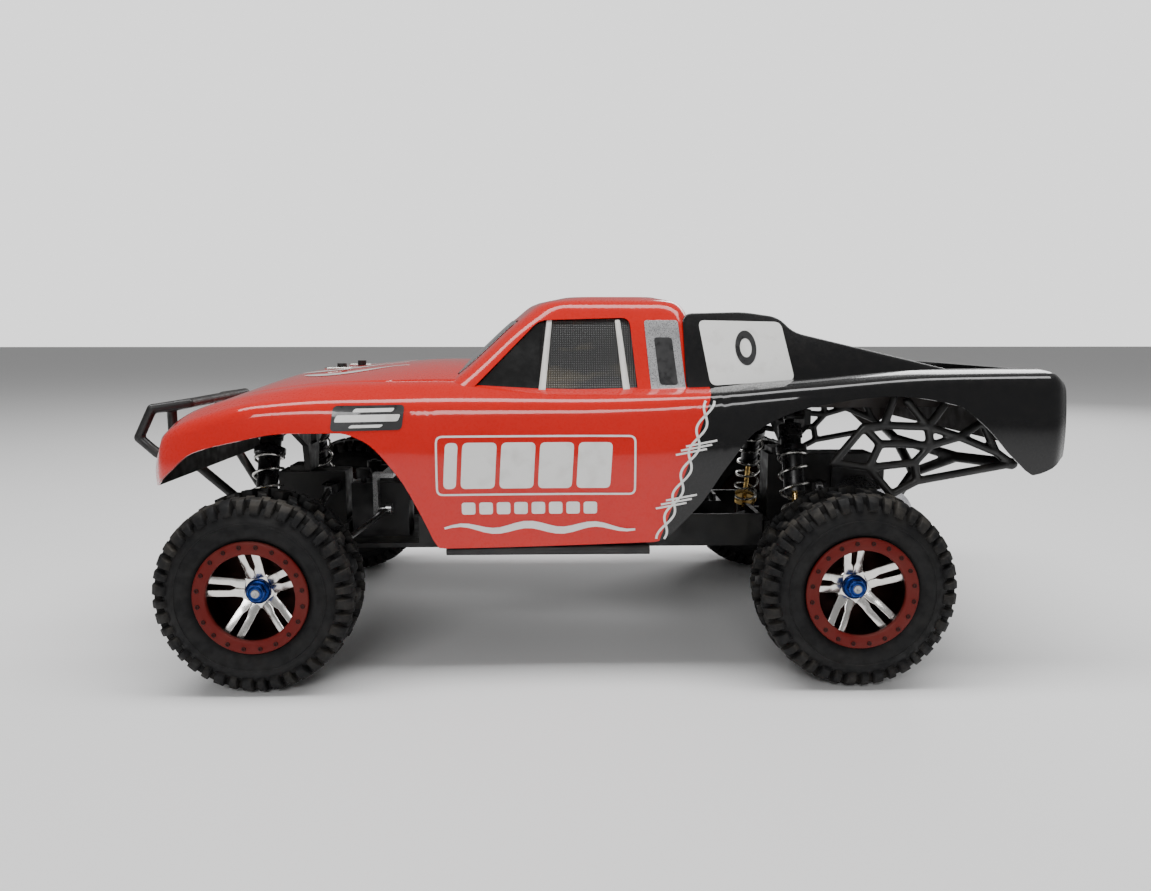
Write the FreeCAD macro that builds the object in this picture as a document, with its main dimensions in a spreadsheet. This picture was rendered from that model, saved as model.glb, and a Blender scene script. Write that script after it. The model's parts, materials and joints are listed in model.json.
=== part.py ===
import FreeCAD, Part
import math
import os

from FreeCAD import Placement, Rotation, Vector

# A 1/10 scale radio controlled short course truck, in millimetres.
# +X is forward, +Y is the truck's left, +Z is up, and the ground is Z = 0.

DIMENSIONS = {
    "front_axle_x": 172.5,
    "rear_axle_x": -157.5,
    "axle_height": 55,
    "tyre_radius": 55,
    "tyre_width": 43,
    "tyre_wall": 3,
    "wheel_centre_y": 126.5,
    "arm_length": 75,
    "arm_slope": 15.5,
    "arm_thickness": 5,
    "arm_pin_y": 26,
    "arm_pin_z": 65,
    "arm_barrel_radius": 4,
    "hinge_pin_radius": 1.5,
    "running_gap": 0.05,
    "link_pin_y": 22,
    "link_pin_z": 92,
    "link_offset_x": -12,
    "link_rod_radius": 2,
    "kingpin_y": 108,
    "kingpin_radius": 2,
    "spindle_radius": 3,
    "steering_arm": 20,
    "tie_rod_ball_up": 6,
    "shock_offset_x": 16,
    "shock_eye_y": 46,
    "shock_eye_z": 142,
    "shock_body_radius": 6.5,
    "shock_body_length": 44,
    "shock_rod_radius": 1.75,
    "shock_mount_along": 54,
    "shock_mount_up": 8,
    "spring_radius": 8.6,
    "spring_wire_radius": 0.8,
    "spring_pitch": 8,
    "half_shaft_radius": 2.2,
    "half_shaft_inner_y": 16,
    "servo_pivot_x": 138.5,
    "servo_pivot_y": 18,
    "bellcrank_z": 99,
    "tie_rod_inner_x": 118.5,
    "gear_module": 0.8,
    "spur_teeth": 54,
    "pinion_teeth": 14,
    "gear_width": 5,
    "gear_y": 0,
    "spur_x": -174,
    "spur_z": 88,
    "motor_radius": 18,
    "motor_length": 50,
    "motor_face_y": 13.6,
    "motor_x": -200,
    "motor_z": 80,
    "chassis_bottom": 57,
    "chassis_floor": 3,
    "chassis_half_width": 45,
    "shell_wall": 1.5,
    "post_radius": 3,
}

X_AXIS, Y_AXIS, Z_AXIS = Vector(1, 0, 0), Vector(0, 1, 0), Vector(0, 0, 1)

doc = FreeCAD.newDocument("short_course_truck")
sheet = doc.addObject("Spreadsheet::Sheet", "Dims")
for row, (alias, number) in enumerate(DIMENSIONS.items(), start=1):
    sheet.set(f"A{row}", str(number))
    sheet.setAlias(f"A{row}", alias)
doc.recompute()


def size(alias):
    """The sheet's number for one driving dimension."""
    return float(sheet.get(alias))


NODES = []


# ---------------------------------------------------------------- helpers

def drive(obj, **formulas):
    """Binds an object's sizes to formulas of the sheet's cells."""
    for prop, formula in formulas.items():
        if isinstance(formula, str):
            obj.setExpression(prop, formula)
        else:
            setattr(obj, prop, formula)
    return obj


def node(obj, name):
    """Makes an object one of the truck's sub-parts."""
    obj.Label = name
    NODES.append(obj)
    return obj


def at(x, y, z, axis=Z_AXIS):
    """A placement whose Z axis points along the given axis."""
    return Placement(Vector(x, y, z), Rotation(Z_AXIS, axis))


def rod(name, radius, length, centre, axis):
    """A cylinder centred on a point; radius may be a formula of the sheet."""
    obj = drive(doc.addObject("Part::Cylinder", name), Radius=radius, Height=length)
    obj.Placement = at(*(Vector(*centre) - axis * (length / 2)), axis)
    return obj


def block(name, x_range, y_range, z_range):
    """A box between two corners."""
    obj = doc.addObject("Part::Box", name)
    obj.Length = x_range[1] - x_range[0]
    obj.Width = y_range[1] - y_range[0]
    obj.Height = z_range[1] - z_range[0]
    obj.Placement.Base = Vector(x_range[0], y_range[0], z_range[0])
    return obj


def ball(name, radius, centre, axis=Z_AXIS):
    obj = drive(doc.addObject("Part::Sphere", name), Radius=radius)
    obj.Placement = at(*centre, axis)
    return obj


def fuse(name, pieces):
    obj = doc.addObject("Part::MultiFuse", name)
    obj.Shapes = pieces
    return obj


def cut(name, base, tools):
    tool = tools[0] if len(tools) == 1 else fuse(name + "_tools", tools)
    obj = doc.addObject("Part::Cut", name)
    obj.Base, obj.Tool = base, tool
    return obj


def mirrored(source, name):
    """The right-hand twin of a left-hand piece."""
    obj = doc.addObject("Part::Mirroring", name + "_twin")
    obj.Source = source
    obj.Normal = Y_AXIS
    return node(obj, name)


def plain(name, shape):
    """A shape made with Part's own functions."""
    obj = doc.addObject("Part::Feature", name)
    obj.Shape = shape
    obj.Placement = Placement()
    return obj


def new_sketch(body, name, role):
    sketch = body.newObject("Sketcher::SketchObject", name)
    plane = next(f for f in body.Origin.OriginFeatures if f.Role == role)
    sketch.AttachmentSupport = [(plane, "")]
    sketch.MapMode = "FlatFace"
    return sketch


def draw(sketch, points):
    """Draws a closed outline of straight lines."""
    corners = [Vector(x, y, 0) for x, y in points]
    for start, end in zip(corners, corners[1:] + corners[:1]):
        sketch.addGeometry(Part.LineSegment(start, end), False)


def draw_circle(sketch, radius, centre=(0, 0)):
    circle = Part.Circle(Vector(centre[0], centre[1], 0), Z_AXIS, radius)
    sketch.addGeometry(circle, False)


def pad(body, name, sketch, length, midplane=False, reverse=False):
    obj = body.newObject("PartDesign::Pad", name)
    obj.Profile = sketch
    drive(obj, Length=length)
    obj.Midplane, obj.Reversed = midplane, reverse
    return obj


def revolve(body, name, sketch):
    obj = body.newObject("PartDesign::Revolution", name)
    obj.Profile = sketch
    obj.ReferenceAxis = (sketch, ["H_Axis"])
    obj.Angle = 360
    return obj


def turned(name, profile, centre):
    """A body turned about an axle along Y, from (distance along Y, radius) points."""
    body = doc.addObject("PartDesign::Body", name)
    sketch = new_sketch(body, name + "_profile", "YZ_Plane")
    draw(sketch, profile)
    revolve(body, name + "_turning", sketch)
    body.Placement.Base = Vector(*centre)
    return body


def strut(start, end, radius):
    """A round bar between two points, as a shape."""
    along = Vector(*end) - Vector(*start)
    return Part.makeCylinder(radius, along.Length, Vector(*start), along)


def bar_frame(points, bars, radius):
    """Round bars joined by balls, fused into one shape."""
    pieces = [strut(points[a], points[b], radius) for a, b in bars]
    pieces += [Part.makeSphere(radius, Vector(*p)) for p in points.values()]
    return pieces[0].multiFuse(pieces[1:]).removeSplitter()


# ---------------------------------------------------------------- layout

slope = math.radians(size("arm_slope"))
arm_out = Vector(0, math.cos(slope), -math.sin(slope))
arm_up = Vector(0, math.sin(slope), math.cos(slope))
arm_reach = arm_out * size("arm_length")
arm_pin = Vector(0, size("arm_pin_y"), size("arm_pin_z"))
link_pin = Vector(0, size("link_pin_y"), size("link_pin_z"))
shock_top = Vector(0, size("shock_eye_y"), size("shock_eye_z"))
shock_bottom = (arm_pin + arm_out * size("shock_mount_along")
                + arm_up * size("shock_mount_up"))
shock_axis = (shock_bottom - shock_top).normalize()
shock_length = (shock_bottom - shock_top).Length
pin_hole = "Dims.hinge_pin_radius + Dims.running_gap"
AXLES = {"front": size("front_axle_x"), "rear": size("rear_axle_x")}


# ---------------------------------------------------------------- wheels

def tyre(end, x):
    """A hollow rubber carcass; its inner side is open to the rim."""
    half = size("tyre_width") / 2
    crown = size("tyre_radius")
    wall = size("tyre_wall")
    outside = [(half - 3, 31), (half, 38), (half - 0.5, 47), (half - 5, 53.4), (half - 13, crown)]
    inside = [(y - wall, r - wall) for y, r in reversed(outside[1:])] + [(half - 3 - wall, 31)]
    right = [(-y, r) for y, r in reversed(outside)]
    right_inside = [(-y, r) for y, r in reversed(inside)]
    profile = outside + right + right_inside + inside
    return turned("tyre_" + end, profile, (x, size("wheel_centre_y"), size("axle_height")))


def rim(end, x):
    """A barrel with a bolted outer ring and five twin spokes round a hub."""
    name = "rim_" + end
    body = turned(name, [(21, 22.8), (21, 30.5), (15.3, 30.5), (15.3, 28.5), (-16, 28.5),
                         (-16, 30.8), (-19.5, 30.8), (-19.5, 26.4), (15, 26.4), (17, 22.8)],
                  (x, size("wheel_centre_y"), size("axle_height")))
    hub_sketch = new_sketch(body, name + "_hub_outline", "XZ_Plane")
    draw_circle(hub_sketch, 9)
    draw_circle(hub_sketch, size("spindle_radius") + size("running_gap"))
    hub = pad(body, name + "_hub", hub_sketch, 14, midplane=True)
    spoke_sketch = new_sketch(body, name + "_spoke_outline", "XZ_Plane")
    for side in (-1, 1):
        draw(spoke_sketch, [(side * 1.5, 8), (side * 5, 8), (side * 6.5, 27), (side * 2.5, 27)])
    spoke = pad(body, name + "_spoke", spoke_sketch, 7, reverse=True)
    doc.recompute()
    pattern = body.newObject("PartDesign::PolarPattern", name + "_spokes")
    pattern.Originals = [spoke]
    pattern.Axis = (spoke_sketch, ["N_Axis"])
    pattern.Angle, pattern.Occurrences = 360, 5
    body.Tip = pattern
    return body


def spindle(end, x):
    """The stub axle that carries a wheel, with its flanged lock nut."""
    z = size("axle_height")
    name = "axle_" + end
    inner = 84.5 if end == "rear" else size("kingpin_y") + 5.5
    start = inner + 8.2 if end == "rear" else inner
    outer = 139
    stub = rod(name + "_stub", "Dims.spindle_radius", outer - start,
               (x, (start + outer) / 2, z), Y_AXIS)
    nut = doc.addObject("Part::Prism", name + "_nut")
    nut.Polygon, nut.Circumradius, nut.Height = 6, 5, 4.5
    nut.Placement = at(x, 134, z, Y_AXIS)
    flange = rod(name + "_flange", 6, 1, (x, 134.5, z), Y_AXIS)
    pieces = [stub, nut, flange]
    if end == "rear":
        cup = rod(name + "_cup", 6, 10, (x, inner + 5, z), Y_AXIS)
        pocket = rod(name + "_pocket", 4.4, 16.4, (x, inner, z), Y_AXIS)
        pieces.append(cut(name + "_socket", cup, [pocket]))
    return fuse(name, pieces)


# ---------------------------------------------------------------- suspension

def lower_arm(end, x):
    """An A-arm whose two ears leave room for the drive shaft."""
    name = "lower_arm_" + end
    length = size("arm_length")
    plate = doc.addObject("PartDesign::Body", name + "_plate")
    sketch = new_sketch(plate, name + "_outline", "XY_Plane")
    draw(sketch, [(22, 0), (23, 56), (13, length), (7.5, length), (7.5, 48), (-7.5, 48),
                  (-7.5, length), (-13, length), (-19, 56), (-22, 0), (-6, 0), (-6, 9),
                  (-15, 9), (-11, 41), (12, 41), (15, 9), (6, 9), (6, 0)])
    pad(plate, name + "_pad", sketch, "Dims.arm_thickness", midplane=True)
    barrels = [rod(f"{name}_barrel_{i}", "Dims.arm_barrel_radius", 16, (side * 14, 0, 0), X_AXIS)
               for i, side in enumerate((-1, 1))]
    ears = [rod(f"{name}_ear_{i}", "Dims.arm_barrel_radius", 5.5, (side * 10.25, length, 0), X_AXIS)
            for i, side in enumerate((-1, 1))]
    mount_x, mount_y, mount_z = (size("shock_offset_x"), size("shock_mount_along"),
                                 size("shock_mount_up"))
    cheeks = [block(f"{name}_cheek_{i}", (mount_x + a, mount_x + a + 2),
                    (mount_y - 3, mount_y + 3), (0, mount_z + 2.5))
              for i, a in enumerate((-5.2, 3.2))]
    stud = rod(name + "_stud", 1.2, 10.4, (mount_x, mount_y, mount_z), X_AXIS)
    holes = [rod(name + "_inner_hole", pin_hole, 60, (0, 0, 0), X_AXIS),
             rod(name + "_outer_hole", pin_hole, 60, (0, length, 0), X_AXIS)]
    arm = cut(name, fuse(name + "_blank", [plate, stud] + barrels + ears + cheeks), holes)
    arm.Placement = Placement(Vector(x, arm_pin.y, arm_pin.z),
                              Rotation(X_AXIS, -size("arm_slope")))
    return arm


def upper_link(end, x):
    """A camber link: a threaded rod with an eye at each end, as long as the arm."""
    name = "upper_link_" + end
    length = size("arm_length")
    eyes = [rod(f"{name}_eye_{i}", 3.8, 4.6, (0, y, 0), X_AXIS) for i, y in enumerate((0, length))]
    shank = rod(name + "_shank", "Dims.link_rod_radius", length - 4, (0, length / 2, 0), Y_AXIS)
    holes = [rod(f"{name}_hole_{i}", pin_hole, 6, (0, y, 0), X_AXIS) for i, y in enumerate((0, length))]
    link = cut(name, fuse(name + "_blank", eyes + [shank]), holes)
    link.Placement = Placement(Vector(x + size("link_offset_x"), link_pin.y, link_pin.z),
                               Rotation(X_AXIS, -size("arm_slope")))
    return link


def link_ears(name, x, y, z, towards, foot=0):
    """Two ears and their pin that hold a camber link's eye; foot lengthens them downwards."""
    middle = x + size("link_offset_x")
    pieces = [block(f"{name}_{i}", (middle + a, middle + a + 2.4),
                    (min(y - 3, towards), max(y + 3, towards)), (z - 3.2 - foot, z + 3.2))
              for i, a in enumerate((-5, 2.5))]
    pieces.append(rod(name + "_pin", "Dims.hinge_pin_radius", 10, (middle, y, z), X_AXIS))
    return pieces


def carrier_hinge(name, x):
    """The lug and pin by which a wheel carrier hangs in the arm's ears."""
    end_pin = arm_pin + arm_reach
    lug = rod(name + "_lug", 3.8, 14, (x, end_pin.y, end_pin.z), X_AXIS)
    pin = rod(name + "_pin", "Dims.hinge_pin_radius", 27, (x, end_pin.y, end_pin.z), X_AXIS)
    return [lug, pin]


def rear_carrier(x):
    """The rear hub carrier, bored for the stub axle."""
    name = "rear_carrier"
    z = size("axle_height")
    top = link_pin + arm_reach
    body = block(name + "_body", (x - 7, x + 7), (97, 110), (43, 66))
    boss = rod(name + "_boss", 9, 18, (x, 106, z), Y_AXIS)
    bridge = block(name + "_bridge", (x - 17, x - 2), (94.5, 103), (65.2, 67.4))
    post = block(name + "_post", (x - 7, x - 2), (97, 103), (60, 67.4))
    pieces = [body, boss, bridge, post] + carrier_hinge(name, x)
    pieces += link_ears(name + "_link", x, top.y, top.z, 101, foot=3)
    bore = rod(name + "_bore", "Dims.spindle_radius + Dims.running_gap", 40, (x, 106, z), Y_AXIS)
    return cut(name, fuse(name + "_blank", pieces), [bore])


def caster_block(x):
    """The C-shaped block that holds the steering knuckle between two kingpin stubs."""
    name = "caster_block"
    y, z = size("kingpin_y"), size("axle_height")
    top = link_pin + arm_reach
    back = block(name + "_back", (x - 6, x + 6), (95, 99), (43, 71))
    tongues = [block(f"{name}_tongue_{i}", (x - 6, x + 6), (95, y + 3), (low, low + 4))
               for i, low in enumerate((z - 16, z + 12))]
    stubs = [rod(f"{name}_stub_{i}", "Dims.kingpin_radius", 6, (x, y, z + up), Z_AXIS)
             for i, up in enumerate((-11, 11))]
    bridge = block(name + "_bridge", (x - 17, x - 2), (94.5, 99), (65.2, 67.4))
    pieces = [back, bridge] + tongues + stubs + carrier_hinge(name, x)
    pieces += link_ears(name + "_link", x, top.y, top.z, 99, foot=3)
    return fuse(name, pieces)


def steering_knuckle(x):
    """The steering block, with its arm pointing back to the tie rod's ball stud."""
    name = "steering_knuckle"
    y, z = size("kingpin_y"), size("axle_height")
    body = block(name + "_body", (x - 5, x + 5), (y - 4, y + 4), (z - 11.8, z + 11.8))
    collar = rod(name + "_collar", 7, 3, (x, y + 5.4, z), Y_AXIS)
    lever = block(name + "_lever", (x - size("steering_arm") - 3, x - 4), (y - 3, y + 3), (z - 2, z + 1))
    ball_x = x - size("steering_arm")
    up = size("tie_rod_ball_up")
    neck = rod(name + "_neck", 1.2, up, (ball_x, y, z + up / 2), Z_AXIS)
    stud = ball(name + "_ball", 2.6, (ball_x, y, z + up))
    holes = [rod(f"{name}_hole_{i}", "Dims.kingpin_radius + Dims.running_gap", 6, (x, y, z + up), Z_AXIS)
             for i, up in enumerate((-10.9, 10.9))]
    holes.append(rod(name + "_seat", "Dims.spindle_radius", 3, (x, y + 5.5 + 1.5, z), Y_AXIS))
    return cut(name, fuse(name + "_blank", [body, collar, lever, neck, stud]), holes)


def along_shock(distance, x):
    point = shock_top + shock_axis * distance
    return (x + size("shock_offset_x"), point.y, point.z)


def shock_part(name, radius, start, end, x):
    """A round piece on the shock's axis between two distances from its upper eye."""
    return rod(name, radius, end - start, along_shock((start + end) / 2, x), shock_axis)


def shock_body(end, x):
    """The oil filled body with its upper eye and the spring's upper collar."""
    name = "shock_body_" + end
    length = size("shock_body_length")
    pieces = [rod(name + "_eye", 4, 5, along_shock(0, x), X_AXIS),
              shock_part(name + "_neck", 3, 2, 8, x),
              shock_part(name + "_cap", 7.5, 6, 14, x),
              shock_part(name + "_tube", "Dims.shock_body_radius", 10, 6 + length, x),
              shock_part(name + "_collar", 9.6, 20, 23.5, x)]
    holes = [rod(name + "_hole", "Dims.hinge_pin_radius + Dims.running_gap", 8, along_shock(0, x), X_AXIS),
             shock_part(name + "_bore", "Dims.shock_rod_radius + Dims.running_gap", 8.5, 60, x)]
    return cut(name, fuse(name + "_blank", pieces), holes)


def shock_shaft(end, x):
    """The shaft with its lower eye and the spring's lower cup."""
    name = "shock_shaft_" + end
    pieces = [shock_part(name + "_rod", "Dims.shock_rod_radius", 32, shock_length - 3, x),
              shock_part(name + "_cup", 9.6, shock_length - 9, shock_length - 6.5, x),
              shock_part(name + "_boss", 2.6, shock_length - 9, shock_length - 3, x),
              rod(name + "_eye", 3.9, 5, along_shock(shock_length, x), X_AXIS)]
    hole = rod(name + "_hole", 2.3, 8, along_shock(shock_length, x), X_AXIS)
    return cut(name, fuse(name + "_blank", pieces), [hole])


def spring(end, x, side):
    """The coil spring between the upper collar and the lower cup; both sides wind the same way."""
    name = f"spring_{end}_{'left' if side > 0 else 'right'}"
    wire = size("spring_wire_radius")
    start, stop = 23.5 + wire + 0.1, shock_length - 9 - wire - 0.1
    helix = drive(doc.addObject("Part::Helix", name + "_line"), Pitch="Dims.spring_pitch",
                  Radius="Dims.spring_radius", Height=stop - start)
    section = drive(doc.addObject("Part::Circle", name + "_wire"), Radius="Dims.spring_wire_radius")
    section.Placement = Placement(Vector(size("spring_radius"), 0, 0), Rotation(X_AXIS, 90))
    coil = doc.addObject("Part::Sweep", name)
    coil.Sections, coil.Spine = [section], (helix, ["Edge1"])
    coil.Solid, coil.Frenet = True, True
    seat_x, seat_y, seat_z = along_shock(start, x)
    coil.Placement = at(seat_x, seat_y, seat_z, shock_axis)
    if side < 0:
        half_turn = Placement(Vector(2 * seat_x, 0, 0), Rotation(Z_AXIS, 180))
        wire_end_turn = Placement(Vector(), Rotation(Z_AXIS, 30))
        coil.Placement = half_turn * coil.Placement * wire_end_turn
    return node(coil, name)


def half_shaft(x):
    """The rear drive shaft between two ball joints."""
    name = "half_shaft"
    inner = Vector(x, size("half_shaft_inner_y"), size("axle_height") + arm_reach.y * math.tan(slope))
    outer = inner + arm_reach
    middle = (inner + outer) / 2
    shaft = rod(name + "_rod", "Dims.half_shaft_radius", arm_reach.Length, tuple(middle), arm_out)
    ends = [ball(f"{name}_ball_{i}", 4, tuple(p)) for i, p in enumerate((inner, outer))]
    return fuse(name, [shaft] + ends)


# ---------------------------------------------------------------- steering

def crank(name, side):
    """A steering crank on its post, with a pin for the drag link."""
    x, y, z = size("servo_pivot_x"), side * size("servo_pivot_y"), size("bellcrank_z")
    pin_x = size("tie_rod_inner_x")
    ring = rod(name + "_ring", 5, 6, (x, y, z + 3), Z_AXIS)
    lever = block(name + "_lever", (pin_x, x), (y - 3, y + 3), (z, z + 3))
    tip = rod(name + "_tip", 3, 3, (pin_x, y, z + 1.5), Z_AXIS)
    pin = rod(name + "_pin", "Dims.hinge_pin_radius", 7, (pin_x, y, z + 5), Z_AXIS)
    hole = rod(name + "_hole", 2.05, 8, (x, y, z + 3), Z_AXIS)
    return cut(name, fuse(name + "_blank", [ring, lever, tip, pin]), [hole])


def tie_rod_inner(side):
    """The ball joint where a tie rod meets the drag link."""
    outer = Vector(size("front_axle_x") - size("steering_arm"), size("kingpin_y"),
                   size("axle_height") + size("tie_rod_ball_up"))
    inner = outer - arm_reach
    return Vector(size("tie_rod_inner_x"), side * inner.y, inner.z)


def drag_link():
    """The plate that both cranks carry, with a leg down to each tie rod's ball."""
    name = "drag_link"
    x, z = size("tie_rod_inner_x"), size("bellcrank_z")
    plate = block(name + "_plate", (x - 4, x + 4), (-42, 42), (z + 3.3, z + 6.3))
    pieces = [plate]
    for i, side in enumerate((-1, 1)):
        inner = tie_rod_inner(side)
        low, high = sorted((side * 34.4, side * 42))
        pieces.append(block(f"{name}_leg_{i}", (x + 6, x + 9), (low, high), (inner.z - 3, z + 6.3)))
        pieces.append(block(f"{name}_shelf_{i}", (x + 3, x + 9), (low, high), (z + 3.3, z + 6.3)))
        pieces.append(rod(f"{name}_neck_{i}", 1.2, 7, (x + 4, inner.y, inner.z), X_AXIS))
        pieces.append(ball(f"{name}_ball_{i}", 2.6, tuple(inner)))
    holes = [rod(f"{name}_hole_{i}", pin_hole, 6, (x, side * size("servo_pivot_y"), z + 5), Z_AXIS)
             for i, side in enumerate((-1, 1))]
    return cut(name, fuse(name + "_blank", pieces), holes)


def tie_rod():
    """A steering rod with a ball cup at each end."""
    name = "tie_rod"
    inner = tie_rod_inner(1)
    outer = Vector(size("front_axle_x") - size("steering_arm"), inner.y + arm_reach.y,
                   inner.z + arm_reach.z)
    along = (outer - inner).normalize()
    length = (outer - inner).Length
    shank = rod(name + "_shank", 1.8, length - 6, tuple((inner + outer) / 2), along)
    inner_ring = rod(name + "_inner_ring", 3.8, 3.6, tuple(inner), X_AXIS)
    outer_ring = rod(name + "_outer_ring", 3.8, 3.6, tuple(outer), Z_AXIS)
    sockets = [ball(name + "_inner_socket", 2.65, tuple(inner), X_AXIS),
               ball(name + "_outer_socket", 2.65, tuple(outer))]
    return cut(name, fuse(name + "_blank", [shank, inner_ring, outer_ring]), sockets)


# ---------------------------------------------------------------- drive

def gear(name, teeth, centre, bore, hub_radius):
    """A spur gear along Y with straight-sided teeth."""
    module, width = size("gear_module"), size("gear_width")
    pitch = module * teeth / 2
    root, tip = pitch - 1.25 * module, pitch + 0.9 * module
    step = 2 * math.pi / teeth
    outline = []
    for i in range(teeth):
        for fraction, radius in ((-0.34, root), (-0.19, pitch), (-0.09, tip),
                                 (0.09, tip), (0.19, pitch), (0.34, root)):
            angle = (i + fraction) * step
            outline.append(Vector(radius * math.cos(angle), 0, radius * math.sin(angle)))
    disc = Part.Face(Part.makePolygon(outline + outline[:1])).extrude(Y_AXIS * width)
    boss = Part.makeCylinder(hub_radius, width + 2, Vector(0, -1, 0), Y_AXIS)
    hole = Part.makeCylinder(bore, width + 4, Vector(0, -2, 0), Y_AXIS)
    shape = disc.fuse(boss).cut(hole)
    obj = doc.addObject("Part::Feature", name)
    obj.Shape = shape
    obj.Placement.Base = Vector(*centre)
    return obj


def gears():
    """The spur gear on the gearbox shaft and the motor's pinion, set in mesh."""
    y = size("gear_y") - size("gear_width") / 2
    spur_at = Vector(size("spur_x"), y, size("spur_z"))
    pinion_at = Vector(size("motor_x"), y, size("motor_z"))
    line = pinion_at - spur_at
    towards = math.atan2(line.z, line.x)
    spur = gear("spur_gear", int(size("spur_teeth")), spur_at, 2.55, 6)
    pinion = gear("pinion_gear", int(size("pinion_teeth")), pinion_at, 1.55, 3.6)
    # A tooth of the spur and a gap of the pinion both lie on the line of centres.
    spur.Placement.Rotation = Rotation(Y_AXIS, -math.degrees(towards))
    gap = math.degrees(towards) + 180 + 180 / size("pinion_teeth")
    pinion.Placement.Rotation = Rotation(Y_AXIS, -gap)
    node(spur, "spur_gear")
    node(pinion, "pinion_gear")


def rear_gearbox():
    """The hollow gear case with its output cups, link ears, arm pins and motor plate."""
    x = AXLES["rear"]
    name = "rear_gearbox"
    output_z = size("axle_height") + arm_reach.y * math.tan(slope)
    half = 11
    case = block(name + "_case", (-211, x + 20), (-half, half), (60, 113))
    foot = block(name + "_foot", (x - 22.4, x + 26), (-18, 18), (60, 66))
    plate = block(name + "_plate", (-217.8, -181.2), (half - 1, half + 2.5), (61, 104))
    cups = [rod(f"{name}_cup_{i}", 6.4, 9, (x, side * 13.5, output_z), Y_AXIS)
            for i, side in enumerate((-1, 1))]
    pockets = [rod(f"{name}_pocket_{i}", 4.4, 9, (x, side * 16, output_z), Y_AXIS)
               for i, side in enumerate((-1, 1))]
    tip = size("gear_module") * size("spur_teeth") / 2 + 1.3
    spur_room = rod(name + "_spur_room", tip, 9, (size("spur_x"), 0, size("spur_z")), Y_AXIS)
    pinion_room = rod(name + "_pinion_room", 7, 9, (size("motor_x"), 0, size("motor_z")), Y_AXIS)
    passage = rod(name + "_motor_hole", 4, 12, (size("motor_x"), 10, size("motor_z")), Y_AXIS)
    hollow = cut(name + "_hollow", fuse(name + "_blank", [case, foot, plate] + cups + arm_hangers(name, x)),
                 pockets + [fuse(name + "_room", [spur_room, pinion_room, passage])])
    shaft = rod(name + "_spur_shaft", 2.5, 12, (size("spur_x"), 0, size("spur_z")), Y_AXIS)
    return fuse(name, [hollow, shaft])


def arm_hangers(name, x):
    """The two cross plates with the inner hinge pins of both lower arms, and the link ears."""
    pieces = []
    for i, side in enumerate((-1, 1)):
        low, high = sorted((x + side * 22.3, x + side * 26))
        pieces.append(block(f"{name}_hanger_{i}", (low, high), (-30.5, 30.5), (60, 70)))
        pieces.append(rod(f"{name}_arm_pin_{i}", "Dims.hinge_pin_radius", 50,
                          (x, side * arm_pin.y, arm_pin.z), X_AXIS))
        pieces += link_ears(f"{name}_ears_{i}", x, side * link_pin.y, link_pin.z, side * 8)
    return pieces


def drive_motor():
    """A brushed electric motor with its shaft."""
    x, z = size("motor_x"), size("motor_z")
    face, length = size("motor_face_y"), size("motor_length")
    name = "drive_motor"
    can = rod(name + "_can", "Dims.motor_radius", length, (x, face + length / 2, z), Y_AXIS)
    bell = rod(name + "_bell", 6, 3, (x, face + length + 1.5, z), Y_AXIS)
    nose = rod(name + "_nose", 3.8, 3, (x, face - 1.5, z), Y_AXIS)
    shaft = rod(name + "_shaft", 1.5, face + 3.4, (x, (face - 3.4) / 2, z), Y_AXIS)
    return fuse(name, [can, bell, nose, shaft])


# ---------------------------------------------------------------- chassis

def chassis_tub():
    """A moulded tray with raised sides, a side step along each flank and two crank posts."""
    name = "chassis_tub"
    low, floor, half = size("chassis_bottom"), size("chassis_floor"), size("chassis_half_width")
    front, rear = AXLES["front"] + 27, -218
    tray_front, tray_rear = AXLES["front"] - 28, AXLES["rear"] + 31
    pieces = [block(name + "_floor", (tray_rear, tray_front), (-half, half), (low, low + floor)),
              block(name + "_front_deck", (tray_front - 1, front), (-17, 17), (low, low + floor)),
              block(name + "_rear_deck", (rear, tray_rear + 1), (-17, 17), (low, low + floor))]
    for i, side in enumerate((-1, 1)):
        inner, outer = sorted((side * (half - 3), side * half))
        pieces.append(block(f"{name}_wall_{i}", (tray_rear, 98), (inner, outer), (low, 78)))
        step_in, step_out = sorted((side * (half - 1), side * 110))
        step = block(f"{name}_step_{i}", (-45, 72), (step_in, step_out), (69, 72))
        slots = [block(f"{name}_slot_{i}_{j}", (-37 + 37 * j, -10 + 37 * j),
                       sorted((side * 58, side * 98)), (68, 73)) for j in range(3)]
        pieces.append(cut(f"{name}_side_step_{i}", step, slots))
        pieces.append(rod(f"{name}_nerf_bar_{i}", 3, 117, (13.5, side * 110, 71.5), X_AXIS))
    pieces.append(rod(name + "_idler_post", 4, 38.7, (size("servo_pivot_x"), -size("servo_pivot_y"),
                      low + 1 + 19.35), Z_AXIS))
    pieces.append(rod(name + "_idler_pin", 2, 48, (size("servo_pivot_x"), -size("servo_pivot_y"),
                      low + 1 + 24), Z_AXIS))
    pieces.append(block(name + "_post_foot", (size("servo_pivot_x") - 6, size("servo_pivot_x") + 6),
                        (-25, -10), (low, low + floor)))
    return fuse(name, pieces)


def front_bulkhead():
    """The block at the nose that carries the front arms, links and tower."""
    x = AXLES["front"]
    name = "front_bulkhead"
    core = block(name + "_core", (x - 20, x + 25), (-11, 11), (60, 102))
    foot = block(name + "_foot", (x - 22.4, x + 26), (-18, 18), (60, 66))
    return fuse(name, [core, foot] + arm_hangers(name, x))


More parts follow.
